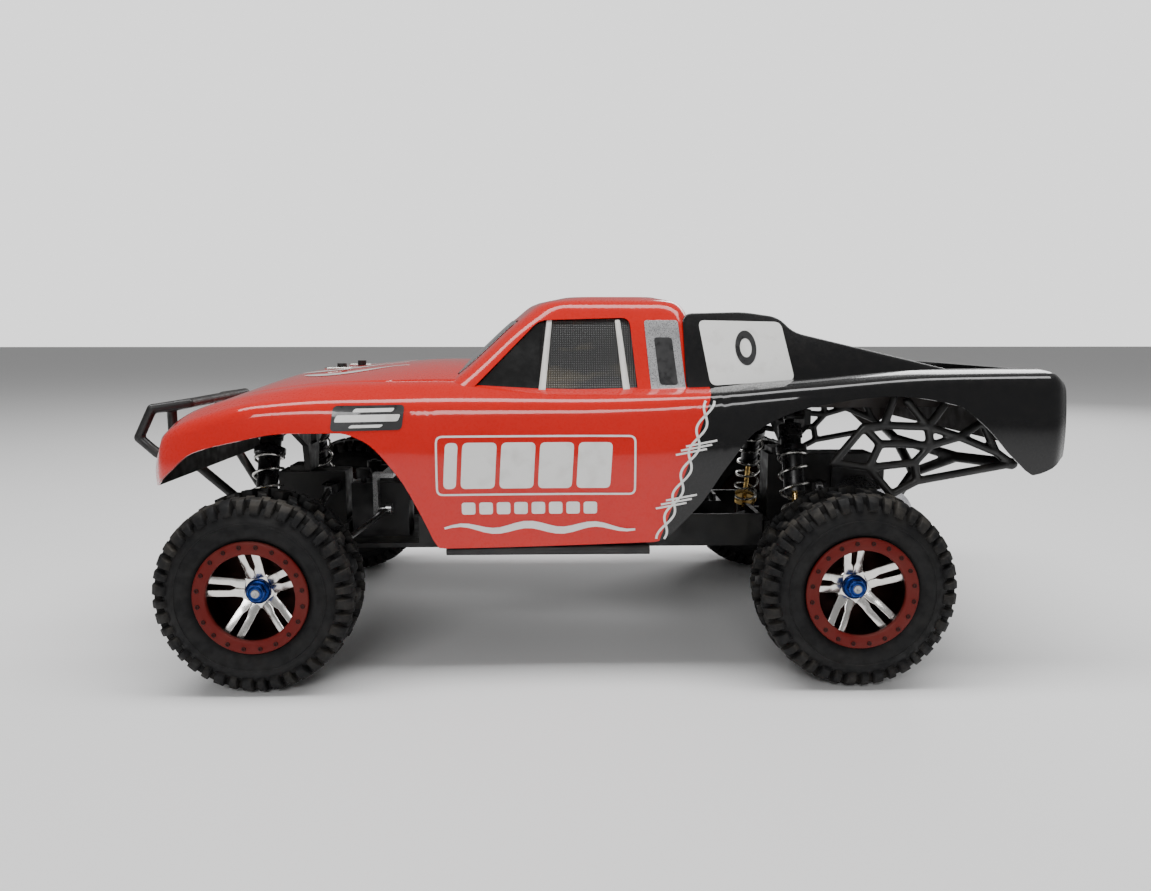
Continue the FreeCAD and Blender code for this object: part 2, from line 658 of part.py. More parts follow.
def shock_tower(end, x, post_x, post_top):
    """A plate that holds the upper shock eyes on bolts, with a pair of body posts."""
    name = end + "_shock_tower"
    eye_x = x + size("shock_offset_x")
    back = eye_x - 12.6
    foot_z = {"front": 102, "rear": 113}[end]
    plate = doc.addObject("PartDesign::Body", name + "_plate")
    sketch = new_sketch(plate, name + "_outline", "YZ_Plane")
    top = size("shock_eye_z")
    draw(sketch, [(-10, foot_z), (10, foot_z), (14, 120), (52, top - 5), (52, top + 5), (30, top + 5),
                  (12, top - 8), (-12, top - 8), (-30, top + 5), (-52, top + 5), (-52, top - 5),
                  (-14, 120)])
    draw(sketch, [(-8, 120), (8, 120), (6, 129), (-6, 129)])
    pad(plate, name + "_pad", sketch, 4)
    plate.Placement.Base = Vector(back, 0, 0)
    base = block(name + "_base", (back, back + 14), (-10, 10), (foot_z, foot_z + 4))
    pieces = [plate, base]
    low = top - 2
    bracket = (min(post_x - 3, back), max(post_x + 3, back + 2))
    for i, side in enumerate((-1, 1)):
        pieces.append(rod(f"{name}_bolt_{i}", "Dims.hinge_pin_radius", 14,
                          (eye_x - 3.5, side * size("shock_eye_y"), top), X_AXIS))
        pieces.append(block(f"{name}_bracket_{i}", bracket, sorted((side * 27, side * 33)), (low, low + 5)))
        pieces.append(rod(f"{name}_post_{i}", "Dims.post_radius", post_top - low,
                          (post_x, side * 30, (low + post_top) / 2), Z_AXIS))
    holes = [rod(f"{name}_clip_hole_{i}", 0.9, 8, (post_x, side * 30, post_top - 3), X_AXIS)
             for i, side in enumerate((-1, 1))]
    return cut(name, fuse(name + "_blank", pieces), holes)


POSTS = {"front": (size("front_axle_x") - 25, 176), "rear": (size("rear_axle_x") + 22, 170)}


def body_clips():
    """Four spring wire clips, one through each body post."""
    clips = []
    for post_x, post_top in POSTS.values():
        for side in (-1, 1):
            y, z = side * 30, post_top - 3
            corners = {"a": (post_x - 6, y, z), "b": (post_x + 8, y, z),
                       "c": (post_x + 10, y + side * 3, z), "d": (post_x + 8, y + side * 5.5, z),
                       "e": (post_x - 5, y + side * 4.2, z)}
            clips.append(bar_frame(corners, [("a", "b"), ("b", "c"), ("c", "d"), ("d", "e")], 0.7))
    return plain("body_clips", Part.makeCompound(clips))


def electronics():
    """The battery, the radio and speed control unit, and the steering servo in the tub."""
    low = size("chassis_bottom") + size("chassis_floor")
    battery = block("battery_box", (-70, 68), (-23.5, 23.5), (low, low + 24))
    rounded = doc.addObject("Part::Fillet", "battery_pack")
    rounded.Base = battery
    rounded.Edges = [(i, 4.0, 4.0) for i in (9, 10, 11, 12)]
    node(rounded, "battery_pack")
    unit = block("unit_case", (-104, -76), (-20, 20), (low, low + 22))
    fins = [block(f"unit_fin_{i}", (-101 + 5 * i, -99 + 5 * i), (-16, 16), (low + 21, low + 26))
            for i in range(5)]
    node(fuse("control_unit_blank", [unit] + fins), "control_unit")
    x, y = size("servo_pivot_x"), size("servo_pivot_y")
    case = block("servo_case", (x - 31, x + 7), (y - 14, y + 6), (low, low + 36))
    lugs = block("servo_lugs", (x - 37, x + 7.4), (y - 13, y + 5), (low + 24, low + 27))
    output = rod("servo_output", 2, 9.5, (x, y, low + 35.5 + 4.75), Z_AXIS)
    node(fuse("steering_servo_blank", [case, lugs, output]), "steering_servo")


def front_bumper():
    """A hoop of round bars on a foot plate bolted under the nose."""
    x = AXLES["front"]
    half = 58
    points, bars = {}, []
    for tag, side in (("l", 1), ("r", -1)):
        points.update({
            "foot" + tag: (x + 32, side * 12, 65), "low" + tag: (x + 84, side * half, 121),
            "tip" + tag: (x + 95, side * half, 131), "high" + tag: (x + 86, side * half, 149),
            "back" + tag: (x + 66, side * (half - 8), 152), "inlow" + tag: (x + 80, side * (half - 14), 124),
            "inhigh" + tag: (x + 80, side * (half - 14), 149)})
        bars += [("foot" + tag, "inlow" + tag), ("inlow" + tag, "low" + tag), ("low" + tag, "tip" + tag),
                 ("tip" + tag, "high" + tag), ("high" + tag, "back" + tag), ("high" + tag, "inhigh" + tag),
                 ("inlow" + tag, "inhigh" + tag), ("back" + tag, "inhigh" + tag)]
    bars += [("inlowl", "inlowr"), ("inhighl", "inhighr"), ("backl", "backr")]
    hoop = bar_frame(points, bars, 2.6)
    foot = Part.makeBox(8, 34, 14, Vector(x + 27.2, -17, 56))
    return plain("front_bumper_bars", hoop.fuse(foot).removeSplitter())


LATTICE_Y = 100
LATTICE_POINTS = {
    "hub": (-154, 120), "crown": (-171, 141), "rise": (-183, 142), "top": (-188, 158),
    "knee": (-175, 117), "mid": (-181, 131), "node": (-193, 131), "heart": (-211, 130),
    "bow": (-209, 141), "peak": (-196, 156), "stem": (-218, 154), "foot": (-189, 101),
    "toe": (-204, 109), "shin": (-202, 120), "fork": (-228, 135), "tail": (-241, 144),
    "hip": (-250, 126), "heel": (-260, 119)}
LATTICE_BARS = [("hub", "crown"), ("crown", "rise"), ("rise", "top"), ("hub", "knee"), ("knee", "mid"),
                ("mid", "crown"), ("mid", "node"), ("node", "heart"), ("rise", "bow"), ("bow", "peak"),
                ("bow", "stem"), ("bow", "fork"), ("heart", "fork"), ("fork", "tail"), ("fork", "hip"),
                ("tail", "hip"), ("hip", "heel"), ("knee", "foot"), ("foot", "toe"), ("toe", "heel"),
                ("heart", "shin"), ("shin", "toe"), ("shin", "knee"), ("heart", "bow")]


def rear_bumper():
    """The webbed brace behind each rear wheel, joined by a cross bar under the tail."""
    shapes = []
    for side in (-1, 1):
        points = {tag: (x, side * LATTICE_Y, z) for tag, (x, z) in LATTICE_POINTS.items()}
        shapes.append(bar_frame(points, LATTICE_BARS, 2))
    heel_x, heel_z = LATTICE_POINTS["heel"]
    cross = {"l": (heel_x, LATTICE_Y, heel_z), "m": (-250, 50, 116), "n": (-250, -50, 116),
             "r": (heel_x, -LATTICE_Y, heel_z), "p": (-244, 0, 98), "s": (-223, 0, 66)}
    rails = [("l", "m"), ("m", "n"), ("n", "r"), ("m", "p"), ("n", "p"), ("p", "s")]
    beam = bar_frame(cross, rails, 3)
    foot = Part.makeBox(8, 24, 14, Vector(-226.2, -12, 56))
    return plain("rear_bumper_bars", beam.multiFuse(shapes + [foot]))


# ---------------------------------------------------------------- body shell

# Stations of the lower body: x, half width at the rocker, at the crease and at the shoulder,
# height of the crease and shoulder, half width and height of the top's edge, height at the middle.
STATIONS = [
    (234.5, 100, 112, 106, 120, 129, 88, 133, 135),
    (227, 110, 122, 117, 120, 139, 98, 145, 147),
    (205, 120, 130, 125, 125, 148, 104, 155, 158),
    (172, 124, 133, 128, 132, 156, 108, 163, 166),
    (130, 122, 132, 126, 132, 159, 106, 168, 173),
    (80, 116, 123, 117, 128, 160, 100, 170, 178),
    (0, 114, 120, 114, 126, 161, 98, 170, 178),
    (-75, 116, 124, 118, 128, 162, 104, 168, 170),
    (-130, 122, 131, 127, 134, 167, 115, 171, 171),
    (-205, 124, 133, 130, 138, 171, 118, 174.5, 174.5),
    (-266.5, 124, 133, 129, 140, 172, 118, 175, 175),
    (-275.5, 116, 127, 123, 142, 168, 112, 171, 171),
]
SHELL_FOOT = 66
LOWER_EDGE = [(250, 110), (234.5, 110), (221.5, 120), (208.5, 130), (187.5, 136), (154.5, 141.5),
              (127.5, 141.5), (114.5, 137), (95.5, 115), (84, 92), (74.5, 74), (-47, 77),
              (-70.5, 97), (-87.5, 123), (-102.5, 142), (-131.5, 155), (-176.5, 161),
              (-211.5, 156), (-225.5, 146), (-247, 124), (-256.5, 117), (-263, 119),
              (-275.5, 127), (-290, 127)]


def hull_section(station, inset):
    x, foot, crease, shoulder, crease_z, shoulder_z, edge, edge_z, middle_z = station
    right = [(foot - inset, SHELL_FOOT - inset), (crease - inset, crease_z),
             (shoulder - inset, shoulder_z - inset / 2), (edge - inset, edge_z - inset), (0, middle_z - inset)]
    half = [Vector(x, y, z) for y, z in right]
    other = [Vector(x, -y, z) for y, z in reversed(right[:-1])]
    return Part.makePolygon(half + other + half[:1])


def hull(inset):
    """The lower body as a solid; a positive inset makes the smaller one inside it."""
    stations = [list(s) for s in STATIONS]
    stations[0][0] -= inset
    stations[-1][0] += inset
    return Part.makeLoft([hull_section(s, inset) for s in stations], True, True)


def cab(inset):
    """The cab as a loft of rectangles with cut corners, from the belt to the roof."""
    rings = [(160, 90, -78, 106), (206, 34, -70, 83), (213.5, 24, -65, 77), (217.5, 8, -52, 60)]
    wires = []
    for z, front, rear, half in rings:
        front, rear, half = front - inset, rear + inset, half - inset
        bow = 10
        points = [(front - bow, half), (rear, half), (rear, -half), (front - bow, -half),
                  (front, -half * 0.62), (front, half * 0.62)]
        wires.append(Part.makePolygon([Vector(x, y, z - inset) for x, y in points + points[:1]]))
    return Part.makeLoft(wires, True, True)


def sail_panel(side):
    """The thin panel from the cab's rear corner down to the bed rail."""
    def on_plane(x, z):
        return Vector(x, side * (105.2 - (z - 162) * 0.5), z)
    outline = [(-66, 207), (-102, 208), (-123, 205), (-131, 196), (-222, 174), (-222, 168), (-66, 162)]
    corners = [on_plane(x, z) for x, z in outline]
    face = Part.Face(Part.makePolygon(corners + corners[:1]))
    return face.extrude(Vector(0, -side * 2, 0))


def prism(points, half_width):
    """An XZ outline pushed through the whole width."""
    corners = [Vector(x, -half_width, z) for x, z in points]
    return Part.Face(Part.makePolygon(corners + corners[:1])).extrude(Vector(0, 2 * half_width, 0))


def body_shell():
    """The thin moulded body: hollow, with its wheel arches, bed, sail panels and post holes."""
    wall = size("shell_wall")
    bed = (-256, -84, 94, 153)

    def bed_box(grow):
        rear, front, half, low = bed
        return Part.makeBox(front - rear + 2 * grow, 2 * half + 2 * grow, 60,
                            Vector(rear - grow, -half - grow, low - grow))

    outside = hull(0).cut(bed_box(0)).fuse(cab(0))
    inside = hull(wall).cut(bed_box(wall)).fuse(cab(wall))
    shell = outside.cut(inside)
    shell = shell.multiFuse([sail_panel(1), sail_panel(-1)])
    below = prism(LOWER_EDGE + [(-290, 40), (250, 40)], 150)
    shell = shell.cut(below.cut(bed_box(wall)))
    for post_x, post_top in POSTS.values():
        for side in (-1, 1):
            hole = Part.makeCylinder(size("post_radius") + 0.4, 60, Vector(post_x, side * 30, post_top - 45))
            shell = shell.cut(hole)
    solids = sorted(shell.Solids, key=lambda s: s.Volume)
    return plain("body_shell_moulding", solids[-1])


# ---------------------------------------------------------------- assembly

def build_corner(end, x):
    """Every piece of one axle's left corner, and its twin on the right."""
    pieces = {"tyre": tyre(end, x), "rim": rim(end, x), "axle": spindle(end, x),
              "lower_arm": lower_arm(end, x), "upper_link": upper_link(end, x),
              "shock_body": shock_body(end, x), "shock_shaft": shock_shaft(end, x)}
    for name, piece in pieces.items():
        node(piece, f"{name}_{end}_left")
        mirrored(piece, f"{name}_{end}_right")
    spring(end, x, 1)
    spring(end, x, -1)


for axle_end, axle_x in AXLES.items():
    build_corner(axle_end, axle_x)

for piece, name in ((rear_carrier(AXLES["rear"]), "rear_carrier"),
                    (caster_block(AXLES["front"]), "caster_block"),
                    (steering_knuckle(AXLES["front"]), "steering_knuckle"),
                    (half_shaft(AXLES["rear"]), "half_shaft"),
                    (tie_rod(), "tie_rod")):
    node(piece, name + "_left")
    mirrored(piece, name + "_right")

node(crank("servo_crank", 1), "servo_saver")
node(crank("idler_crank", -1), "idler_arm")
node(drag_link(), "drag_link")
gears()
node(rear_gearbox(), "rear_gearbox")
node(drive_motor(), "drive_motor")
node(chassis_tub(), "chassis_tub")
node(front_bulkhead(), "front_bulkhead")
for axle_end, axle_x in AXLES.items():
    node(shock_tower(axle_end, axle_x, *POSTS[axle_end]), axle_end + "_shock_tower")
node(body_clips(), "body_clips")
electronics()
node(front_bumper(), "front_bumper")
node(rear_bumper(), "rear_bumper")
node(body_shell(), "body_shell")

doc.recompute()

failed = [obj.Name for obj in doc.Objects if "Invalid" in obj.State or "Error" in obj.State]
empty = [obj.Label for obj in NODES if obj.Shape.isNull() or not obj.Shape.isValid()]
if failed or empty:
    raise RuntimeError(f"failed objects: {failed}; sub-parts with no valid shape: {empty}")

os.makedirs("parts", exist_ok=True)
for obj in NODES:
    obj.Shape.exportStep(f"parts/{obj.Label}.step")
print(len(NODES), "sub-parts written")
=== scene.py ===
import json
import math

import bmesh
import bpy
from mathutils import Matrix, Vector


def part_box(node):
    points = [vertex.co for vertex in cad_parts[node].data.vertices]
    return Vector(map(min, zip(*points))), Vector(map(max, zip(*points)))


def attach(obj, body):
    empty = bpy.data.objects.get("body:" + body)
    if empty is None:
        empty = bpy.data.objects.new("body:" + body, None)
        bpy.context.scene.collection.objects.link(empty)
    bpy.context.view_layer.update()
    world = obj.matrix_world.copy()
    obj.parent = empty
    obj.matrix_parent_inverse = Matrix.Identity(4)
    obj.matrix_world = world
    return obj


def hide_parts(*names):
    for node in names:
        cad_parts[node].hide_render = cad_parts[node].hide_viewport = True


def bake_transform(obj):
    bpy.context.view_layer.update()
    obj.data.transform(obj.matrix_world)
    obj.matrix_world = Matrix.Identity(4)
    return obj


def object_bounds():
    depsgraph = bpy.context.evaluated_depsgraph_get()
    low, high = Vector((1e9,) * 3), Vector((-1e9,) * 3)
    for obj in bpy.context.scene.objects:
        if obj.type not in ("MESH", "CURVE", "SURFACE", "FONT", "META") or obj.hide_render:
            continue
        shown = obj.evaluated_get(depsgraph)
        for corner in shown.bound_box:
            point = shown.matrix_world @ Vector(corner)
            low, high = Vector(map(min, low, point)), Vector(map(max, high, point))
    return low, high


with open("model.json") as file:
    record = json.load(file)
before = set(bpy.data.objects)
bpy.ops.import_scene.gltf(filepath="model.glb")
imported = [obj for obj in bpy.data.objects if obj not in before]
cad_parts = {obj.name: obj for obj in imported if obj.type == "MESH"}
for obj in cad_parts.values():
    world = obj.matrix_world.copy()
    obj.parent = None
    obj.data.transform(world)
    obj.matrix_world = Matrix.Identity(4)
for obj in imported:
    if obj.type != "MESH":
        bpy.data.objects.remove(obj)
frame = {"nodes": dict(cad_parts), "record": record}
cad_low, cad_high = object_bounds()

# Every number below is in millimetres unless it says otherwise; the scene itself is in metres.
MM = 0.001
LEFT, RIGHT = 1, -1
SIDES = {"left": LEFT, "right": RIGHT}
TURN = 2 * math.pi
CORNERS = [(end, side) for end in ("front", "rear") for side in SIDES]


# ---------------------------------------------------------------- camera, floor and lights

def place_camera():
    """A long look at the left side, a little above the roof."""
    data = bpy.data.cameras.new("camera")
    data.sensor_width = 36
    data.lens = 27.2
    camera = bpy.data.objects.new("camera", data)
    camera.location = (0.0105, 0.601, 0.1955)
    camera.rotation_euler = (math.radians(90 - 7.37), 0, math.radians(180 - 1.48))
    bpy.context.scene.collection.objects.link(camera)
    bpy.context.scene.camera = camera


def lay_floor():
    """A plain pale floor, far wider than the truck; its reach is in metres."""
    mesh = bpy.data.meshes.new("floor")
    reach = 12
    mesh.from_pydata([(-reach, -reach, 0), (reach, -reach, 0), (reach, reach, 0), (-reach, reach, 0)],
                     [], [(0, 1, 2, 3)])
    floor = bpy.data.objects.new("floor", mesh)
    bpy.context.scene.collection.objects.link(floor)
    floor.data.materials.append(new_material("floor", (0.9, 0.9, 0.9), roughness=0.8))


def light_world():
    """A white surround: bright to look at, but dim as a light, so that dark paint keeps its depth."""
    world = bpy.data.worlds.new("world")
    world.use_nodes = True
    tree = world.node_tree
    dim = tree.nodes["Background"]
    bright = tree.nodes.new("ShaderNodeBackground")
    for background, strength in ((dim, 0.28), (bright, 1.6)):
        background.inputs["Color"].default_value = (1, 1, 1, 1)
        background.inputs["Strength"].default_value = strength
    seen = tree.nodes.new("ShaderNodeLightPath")
    mix = tree.nodes.new("ShaderNodeMixShader")
    tree.links.new(seen.outputs["Is Camera Ray"], mix.inputs[0])
    tree.links.new(dim.outputs[0], mix.inputs[1])
    tree.links.new(bright.outputs[0], mix.inputs[2])
    tree.links.new(mix.outputs[0], tree.nodes["World Output"].inputs["Surface"])
    bpy.context.scene.world = world


def area_light(name, location, target, size, power):
    """A soft rectangular lamp that looks at the target; places and sizes in metres."""
    data = bpy.data.lights.new(name, "AREA")
    data.shape = "RECTANGLE"
    data.size, data.size_y = size
    data.energy = power
    lamp = bpy.data.objects.new(name, data)
    lamp.location = location
    lamp.rotation_euler = (Vector(target) - Vector(location)).to_track_quat("-Z", "Y").to_euler()
    bpy.context.scene.collection.objects.link(lamp)


def light_scene():
    centre = (cad_low + cad_high) / 2
    area_light("top_light", (0, 0.15, 1.6), centre, (2.4, 0.5), 34)
    area_light("near_light", (0.4, 1.9, 1.1), centre, (1.2, 0.35), 13)
    area_light("far_light", (-0.9, -1.6, 1.0), centre, (1.2, 0.6), 12)


# ---------------------------------------------------------------- materials

def new_material(name, colour, roughness, metallic=0.0, coat=0.0, specular=0.5):
    """A Principled material whose constant values sit on the shader's own sockets."""
    material = bpy.data.materials.new(name)
    material.use_nodes = True
    shader = material.node_tree.nodes["Principled BSDF"]
    shader.inputs["Base Color"].default_value = (*colour, 1)
    shader.inputs["Roughness"].default_value = roughness
    shader.inputs["Metallic"].default_value = metallic
    shader.inputs["Coat Weight"].default_value = coat
    shader.inputs["Coat Roughness"].default_value = 0.06
    shader.inputs["Specular IOR Level"].default_value = specular
    return material


def shader_of(material):
    return material.node_tree.nodes["Principled BSDF"]


def place_socket(material):
    """The surface's own place, in metres: every mesh here is in the truck's frame."""
    return material.node_tree.nodes.new("ShaderNodeTexCoord").outputs["Object"]


def noise(material, size_mm, detail=4, stretch=(1, 1, 1)):
    """Soft random blotches about size_mm across, as a socket from 0 to 1."""
    tree = material.node_tree
    mapping = tree.nodes.new("ShaderNodeMapping")
    mapping.inputs["Scale"].default_value = stretch
    tree.links.new(place_socket(material), mapping.inputs["Vector"])
    node = tree.nodes.new("ShaderNodeTexNoise")
    node.inputs["Scale"].default_value = 1 / (size_mm * MM)
    node.inputs["Detail"].default_value = detail
    tree.links.new(mapping.outputs["Vector"], node.inputs["Vector"])
    return node.outputs["Fac"]


def ramp(material, socket, start, end, low, high):
    """Maps a socket's start..end to low..high, held at both ends."""
    node = material.node_tree.nodes.new("ShaderNodeMapRange")
    for name, value in (("From Min", start), ("From Max", end), ("To Min", low), ("To Max", high)):
        node.inputs[name].default_value = value
    material.node_tree.links.new(socket, node.inputs["Value"])
    return node.outputs["Result"]


def times(material, first, second):
    node = material.node_tree.nodes.new("ShaderNodeMath")
    node.operation = "MULTIPLY"
    material.node_tree.links.new(first, node.inputs[0])
    material.node_tree.links.new(second, node.inputs[1])
    return node.outputs["Value"]


def paint_over(material, colour, mask):
    """Mixes another colour over the base colour where the mask is 1."""
    tree = material.node_tree
    base = shader_of(material).inputs["Base Color"]
    mix = tree.nodes.new("ShaderNodeMix")
    mix.data_type = "RGBA"
    factor, under, over = mix.inputs[0], mix.inputs[6], mix.inputs[7]
    if base.is_linked:
        tree.links.new(base.links[0].from_socket, under)
    else:
        under.default_value = base.default_value
    over.default_value = (*colour, 1)
    tree.links.new(mask, factor)
    tree.links.new(mix.outputs[2], base)


def vary_roughness(material, socket, low, high):
    tree = material.node_tree
    tree.links.new(ramp(material, socket, 0.35, 0.65, low, high), shader_of(material).inputs["Roughness"])


def bump(material, height, depth_mm, strength=1.0):
    """Adds a bump on top of whatever the normal already has."""
    tree = material.node_tree
    normal = shader_of(material).inputs["Normal"]
    node = tree.nodes.new("ShaderNodeBump")
    node.inputs["Distance"].default_value = depth_mm * MM
    node.inputs["Strength"].default_value = strength
    tree.links.new(height, node.inputs["Height"])
    if normal.is_linked:
        tree.links.new(normal.links[0].from_socket, node.inputs["Normal"])
    tree.links.new(node.outputs["Normal"], normal)


def soften_edges(material, radius_mm):
    """Rounds hard edges in the shading, as a moulding or a machined edge is."""
    tree = material.node_tree
    node = tree.nodes.new("ShaderNodeBevel")
    node.samples = 4
    node.inputs["Radius"].default_value = radius_mm * MM
    tree.links.new(node.outputs["Normal"], shader_of(material).inputs["Normal"])


def upward(material):
    """1 where the surface faces up, 0 where it is upright or faces down."""
    tree = material.node_tree
    geometry = tree.nodes.new("ShaderNodeNewGeometry")
    split = tree.nodes.new("ShaderNodeSeparateXYZ")
    tree.links.new(geometry.outputs["Normal"], split.inputs["Vector"])
    return ramp(material, split.outputs["Z"], 0.1, 1.0, 0.0, 1.0)


def add_dust(material, amount, colour=(0.30, 0.26, 0.21), size_mm=14):
    """Dry track dust: patchy, and thicker on what faces up."""
    patches = ramp(material, noise(material, size_mm, detail=8), 0.42, 0.75, 0.0, amount)
    settled = ramp(material, upward(material), 0.0, 1.0, 0.35, 1.0)
    paint_over(material, colour, times(material, patches, settled))


def polycarbonate(name, colour):
    """Painted film under a clear glossy skin, with a little orange peel and fine scuffs."""
    material = new_material(name, colour, roughness=0.3, coat=0.9, specular=0.06)
    darker = tuple(c * 0.8 for c in colour)
    paint_over(material, darker, ramp(material, noise(material, 60, detail=3), 0.45, 0.75, 0.0, 0.3))
    bump(material, noise(material, 26, detail=1), 0.4, 0.25)
    vary_roughness(material, noise(material, 1.6, detail=6), 0.22, 0.38)
    add_dust(material, 0.015, colour=(0.5, 0.42, 0.36), size_mm=5)
    return material


def moulded_plastic(name, colour, roughness=0.5, dust=0.16, edge_mm=0.35, specular=0.5):
    """Glass filled nylon: fine grain, dull sheen and dust."""
    material = new_material(name, colour, roughness, specular=specular)
    soften_edges(material, edge_mm)
    bump(material, noise(material, 0.6, detail=3), 0.03, 0.35)
    vary_roughness(material, noise(material, 7, detail=5), roughness - 0.1, roughness + 0.15)
    add_dust(material, dust)
    return material


def metal(name, colour, roughness, edge_mm=0.2, grain=(1, 1, 1)):
    """Bare or plated metal with faint machining marks and tarnish."""
    material = new_material(name, colour, roughness, metallic=1.0)
    soften_edges(material, edge_mm)
    marks = noise(material, 0.5, detail=3, stretch=grain)
    vary_roughness(material, marks, roughness * 0.75, roughness * 1.4)
    paint_over(material, tuple(c * 0.55 for c in colour),
               ramp(material, noise(material, 5, detail=6), 0.55, 0.75, 0.0, 0.5))
    return material


def tyre_material(name, dust):
    """Black rubber, grey with patchy dust that is thickest where it faces up; where the amount is large, as
    on the tread, that grey is partly a painted highlight on the lug tops.
    """
    material = new_material(name, (0.0065, 0.0065, 0.007), roughness=0.6, specular=0.22)
    bump(material, noise(material, 1.3, detail=5), 0.1, 0.5)
    vary_roughness(material, noise(material, 5, detail=4), 0.5, 0.8)
    add_dust(material, dust, colour=(0.13, 0.115, 0.095), size_mm=9)
    return material


def net_material():
    """A black window net: crossing ribbons with a painted golden sheen over dark film."""
    material = new_material("window_net", (0.004, 0.004, 0.004), roughness=0.35, coat=0.1)
    tree = material.node_tree
    waves = []
    for direction in ("X", "Z"):
        wave = tree.nodes.new("ShaderNodeTexWave")
        wave.bands_direction = direction
        wave.inputs["Scale"].default_value = 0.314 / (1.3 * MM)
        tree.links.new(place_socket(material), wave.inputs["Vector"])
        waves.append(wave.outputs["Fac"])
    weave = times(material, *waves)
    bump(material, weave, 0.2, 0.8)
    # The golden patches on the ribbons are a painted sheen laid into the base colour.
    sheen = ramp(material, noise(material, 26, detail=5, stretch=(0.6, 1, 1.7)), 0.55, 0.78, 0.0, 0.45)
    paint_over(material, (0.30, 0.23, 0.12), times(material, sheen, ramp(material, weave, 0, 0.6, 0.3, 1)))
    return material


def carried_over_materials():
    """The finish of every CAD node that stays, by the record's material slot."""
    black = (0.007, 0.007, 0.0075)
    return {
        "arm_plastic": moulded_plastic("arm_plastic", black, 0.5),
        "chassis_plastic": moulded_plastic("chassis_plastic", black, 0.48),
        "case_black": moulded_plastic("case_black", (0.012, 0.012, 0.013), 0.4, dust=0.1),
        "shock_black": moulded_plastic("shock_black", (0.006, 0.006, 0.007), 0.28, dust=0.08),
        "gear_nylon": moulded_plastic("gear_nylon", (0.05, 0.05, 0.052), 0.45, dust=0.1),
        "link_steel": metal("link_steel", (0.5, 0.5, 0.5), 0.3),
        "shaft_gold": metal("shaft_gold", (0.83, 0.56, 0.2), 0.22, grain=(1, 1, 0.2)),
        "spring_steel": metal("spring_steel", (0.62, 0.61, 0.58), 0.25),
        "motor_can": metal("motor_can", (0.42, 0.42, 0.44), 0.28, grain=(1, 0.1, 1)),
        "battery_wrap": polycarbonate("battery_wrap", (0.05, 0.05, 0.06)),
        "nut_blue": metal("nut_blue", (0.03, 0.07, 0.28), 0.3),
        "rim_chrome": metal("rim_chrome", (0.82, 0.8, 0.77), 0.16),
    }


# ---------------------------------------------------------------- mesh helpers

def mesh_piece(name, points, faces, material, body, slot=None, smooth_deg=40):
    """A piece from points in millimetres, riding on a body."""
    mesh = bpy.data.meshes.new(name)
    mesh.from_pydata([Vector(p) * MM for p in points], [], faces)
    mesh.validate()
    tidy = bmesh.new()
    tidy.from_mesh(mesh)
    bmesh.ops.remove_doubles(tidy, verts=tidy.verts, dist=0.002 * MM)
    bmesh.ops.recalc_face_normals(tidy, faces=tidy.faces)
    tidy.to_mesh(mesh)
    tidy.free()
    mesh.materials.append(material)
    shade(mesh, smooth_deg)
    piece = bpy.data.objects.new(name, mesh)
    bpy.context.scene.collection.objects.link(piece)
    if body:
        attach(piece, body)
    return piece


def shade(mesh, smooth_deg):
    """Smooth shading that breaks at edges sharper than smooth_deg."""
    for polygon in mesh.polygons:
        polygon.use_smooth = True
    mesh.set_sharp_from_angle(angle=math.radians(smooth_deg))


def apply_modifiers(piece):
    """Puts the modifiers' result in the piece's own mesh."""
    graph = bpy.context.evaluated_depsgraph_get()
    made = bpy.data.meshes.new_from_object(piece.evaluated_get(graph))
    piece.modifiers.clear()
    piece.data = made


def bevelled(piece, width_mm, segments=2, angle_deg=35):
    """Rounds the piece's edges in its mesh."""
    modifier = piece.modifiers.new("bevel", "BEVEL")
    modifier.width = width_mm * MM
    modifier.segments = segments
    modifier.limit_method = "ANGLE"
    modifier.angle_limit = math.radians(angle_deg)
    apply_modifiers(piece)
    shade(piece.data, 40)
    return piece


def walled(piece, wall, offset=0, inner_material=0):
    """Gives a sheet its thickness: about its middle, or inwards where the offset is -1."""
    modifier = piece.modifiers.new("wall", "SOLIDIFY")
    modifier.thickness = wall * MM
    modifier.offset = offset
    modifier.material_offset = inner_material
    apply_modifiers(piece)


def round_axle(centre, y, radius, angle):
    """A place round a line along Y through centre."""
    return Vector(centre) + Vector((radius * math.cos(angle), y, radius * math.sin(angle)))


def revolve(profile, centre, segments=96, closed=True):
    """Points and faces of a profile of (y, radius) turned about the Y axis through centre."""
    points = []
    for i in range(segments):
        points += [round_axle(centre, y, radius, TURN * i / segments) for y, radius in profile]
    count = len(profile)
    strips = count if closed else count - 1
    faces = []
    for i in range(segments):
        here, there = i * count, (i + 1) % segments * count
        for k in range(strips):
            faces.append((here + k, here + (k + 1) % count, there + (k + 1) % count, there + k))
    return points, faces


def smooth_line(points, steps, closed=False):
    """A Catmull-Rom line through 2-D or 3-D points, with steps samples per stretch."""
    points = [Vector(p) for p in points]
    count = len(points)
    line = []
    stretches = count if closed else count - 1
    for i in range(stretches):
        def near(k):
            return points[k % count] if closed else points[min(max(k, 0), count - 1)]
        a, b, c, d = near(i - 1), near(i), near(i + 1), near(i + 2)
        for s in range(steps):
            t = s / steps
            line.append(0.5 * (2 * b + (c - a) * t + (2 * a - 5 * b + 4 * c - d) * t * t
                               + (3 * b - a - 3 * c + d) * t ** 3))
    if not closed:
        line.append(points[-1])
    return line


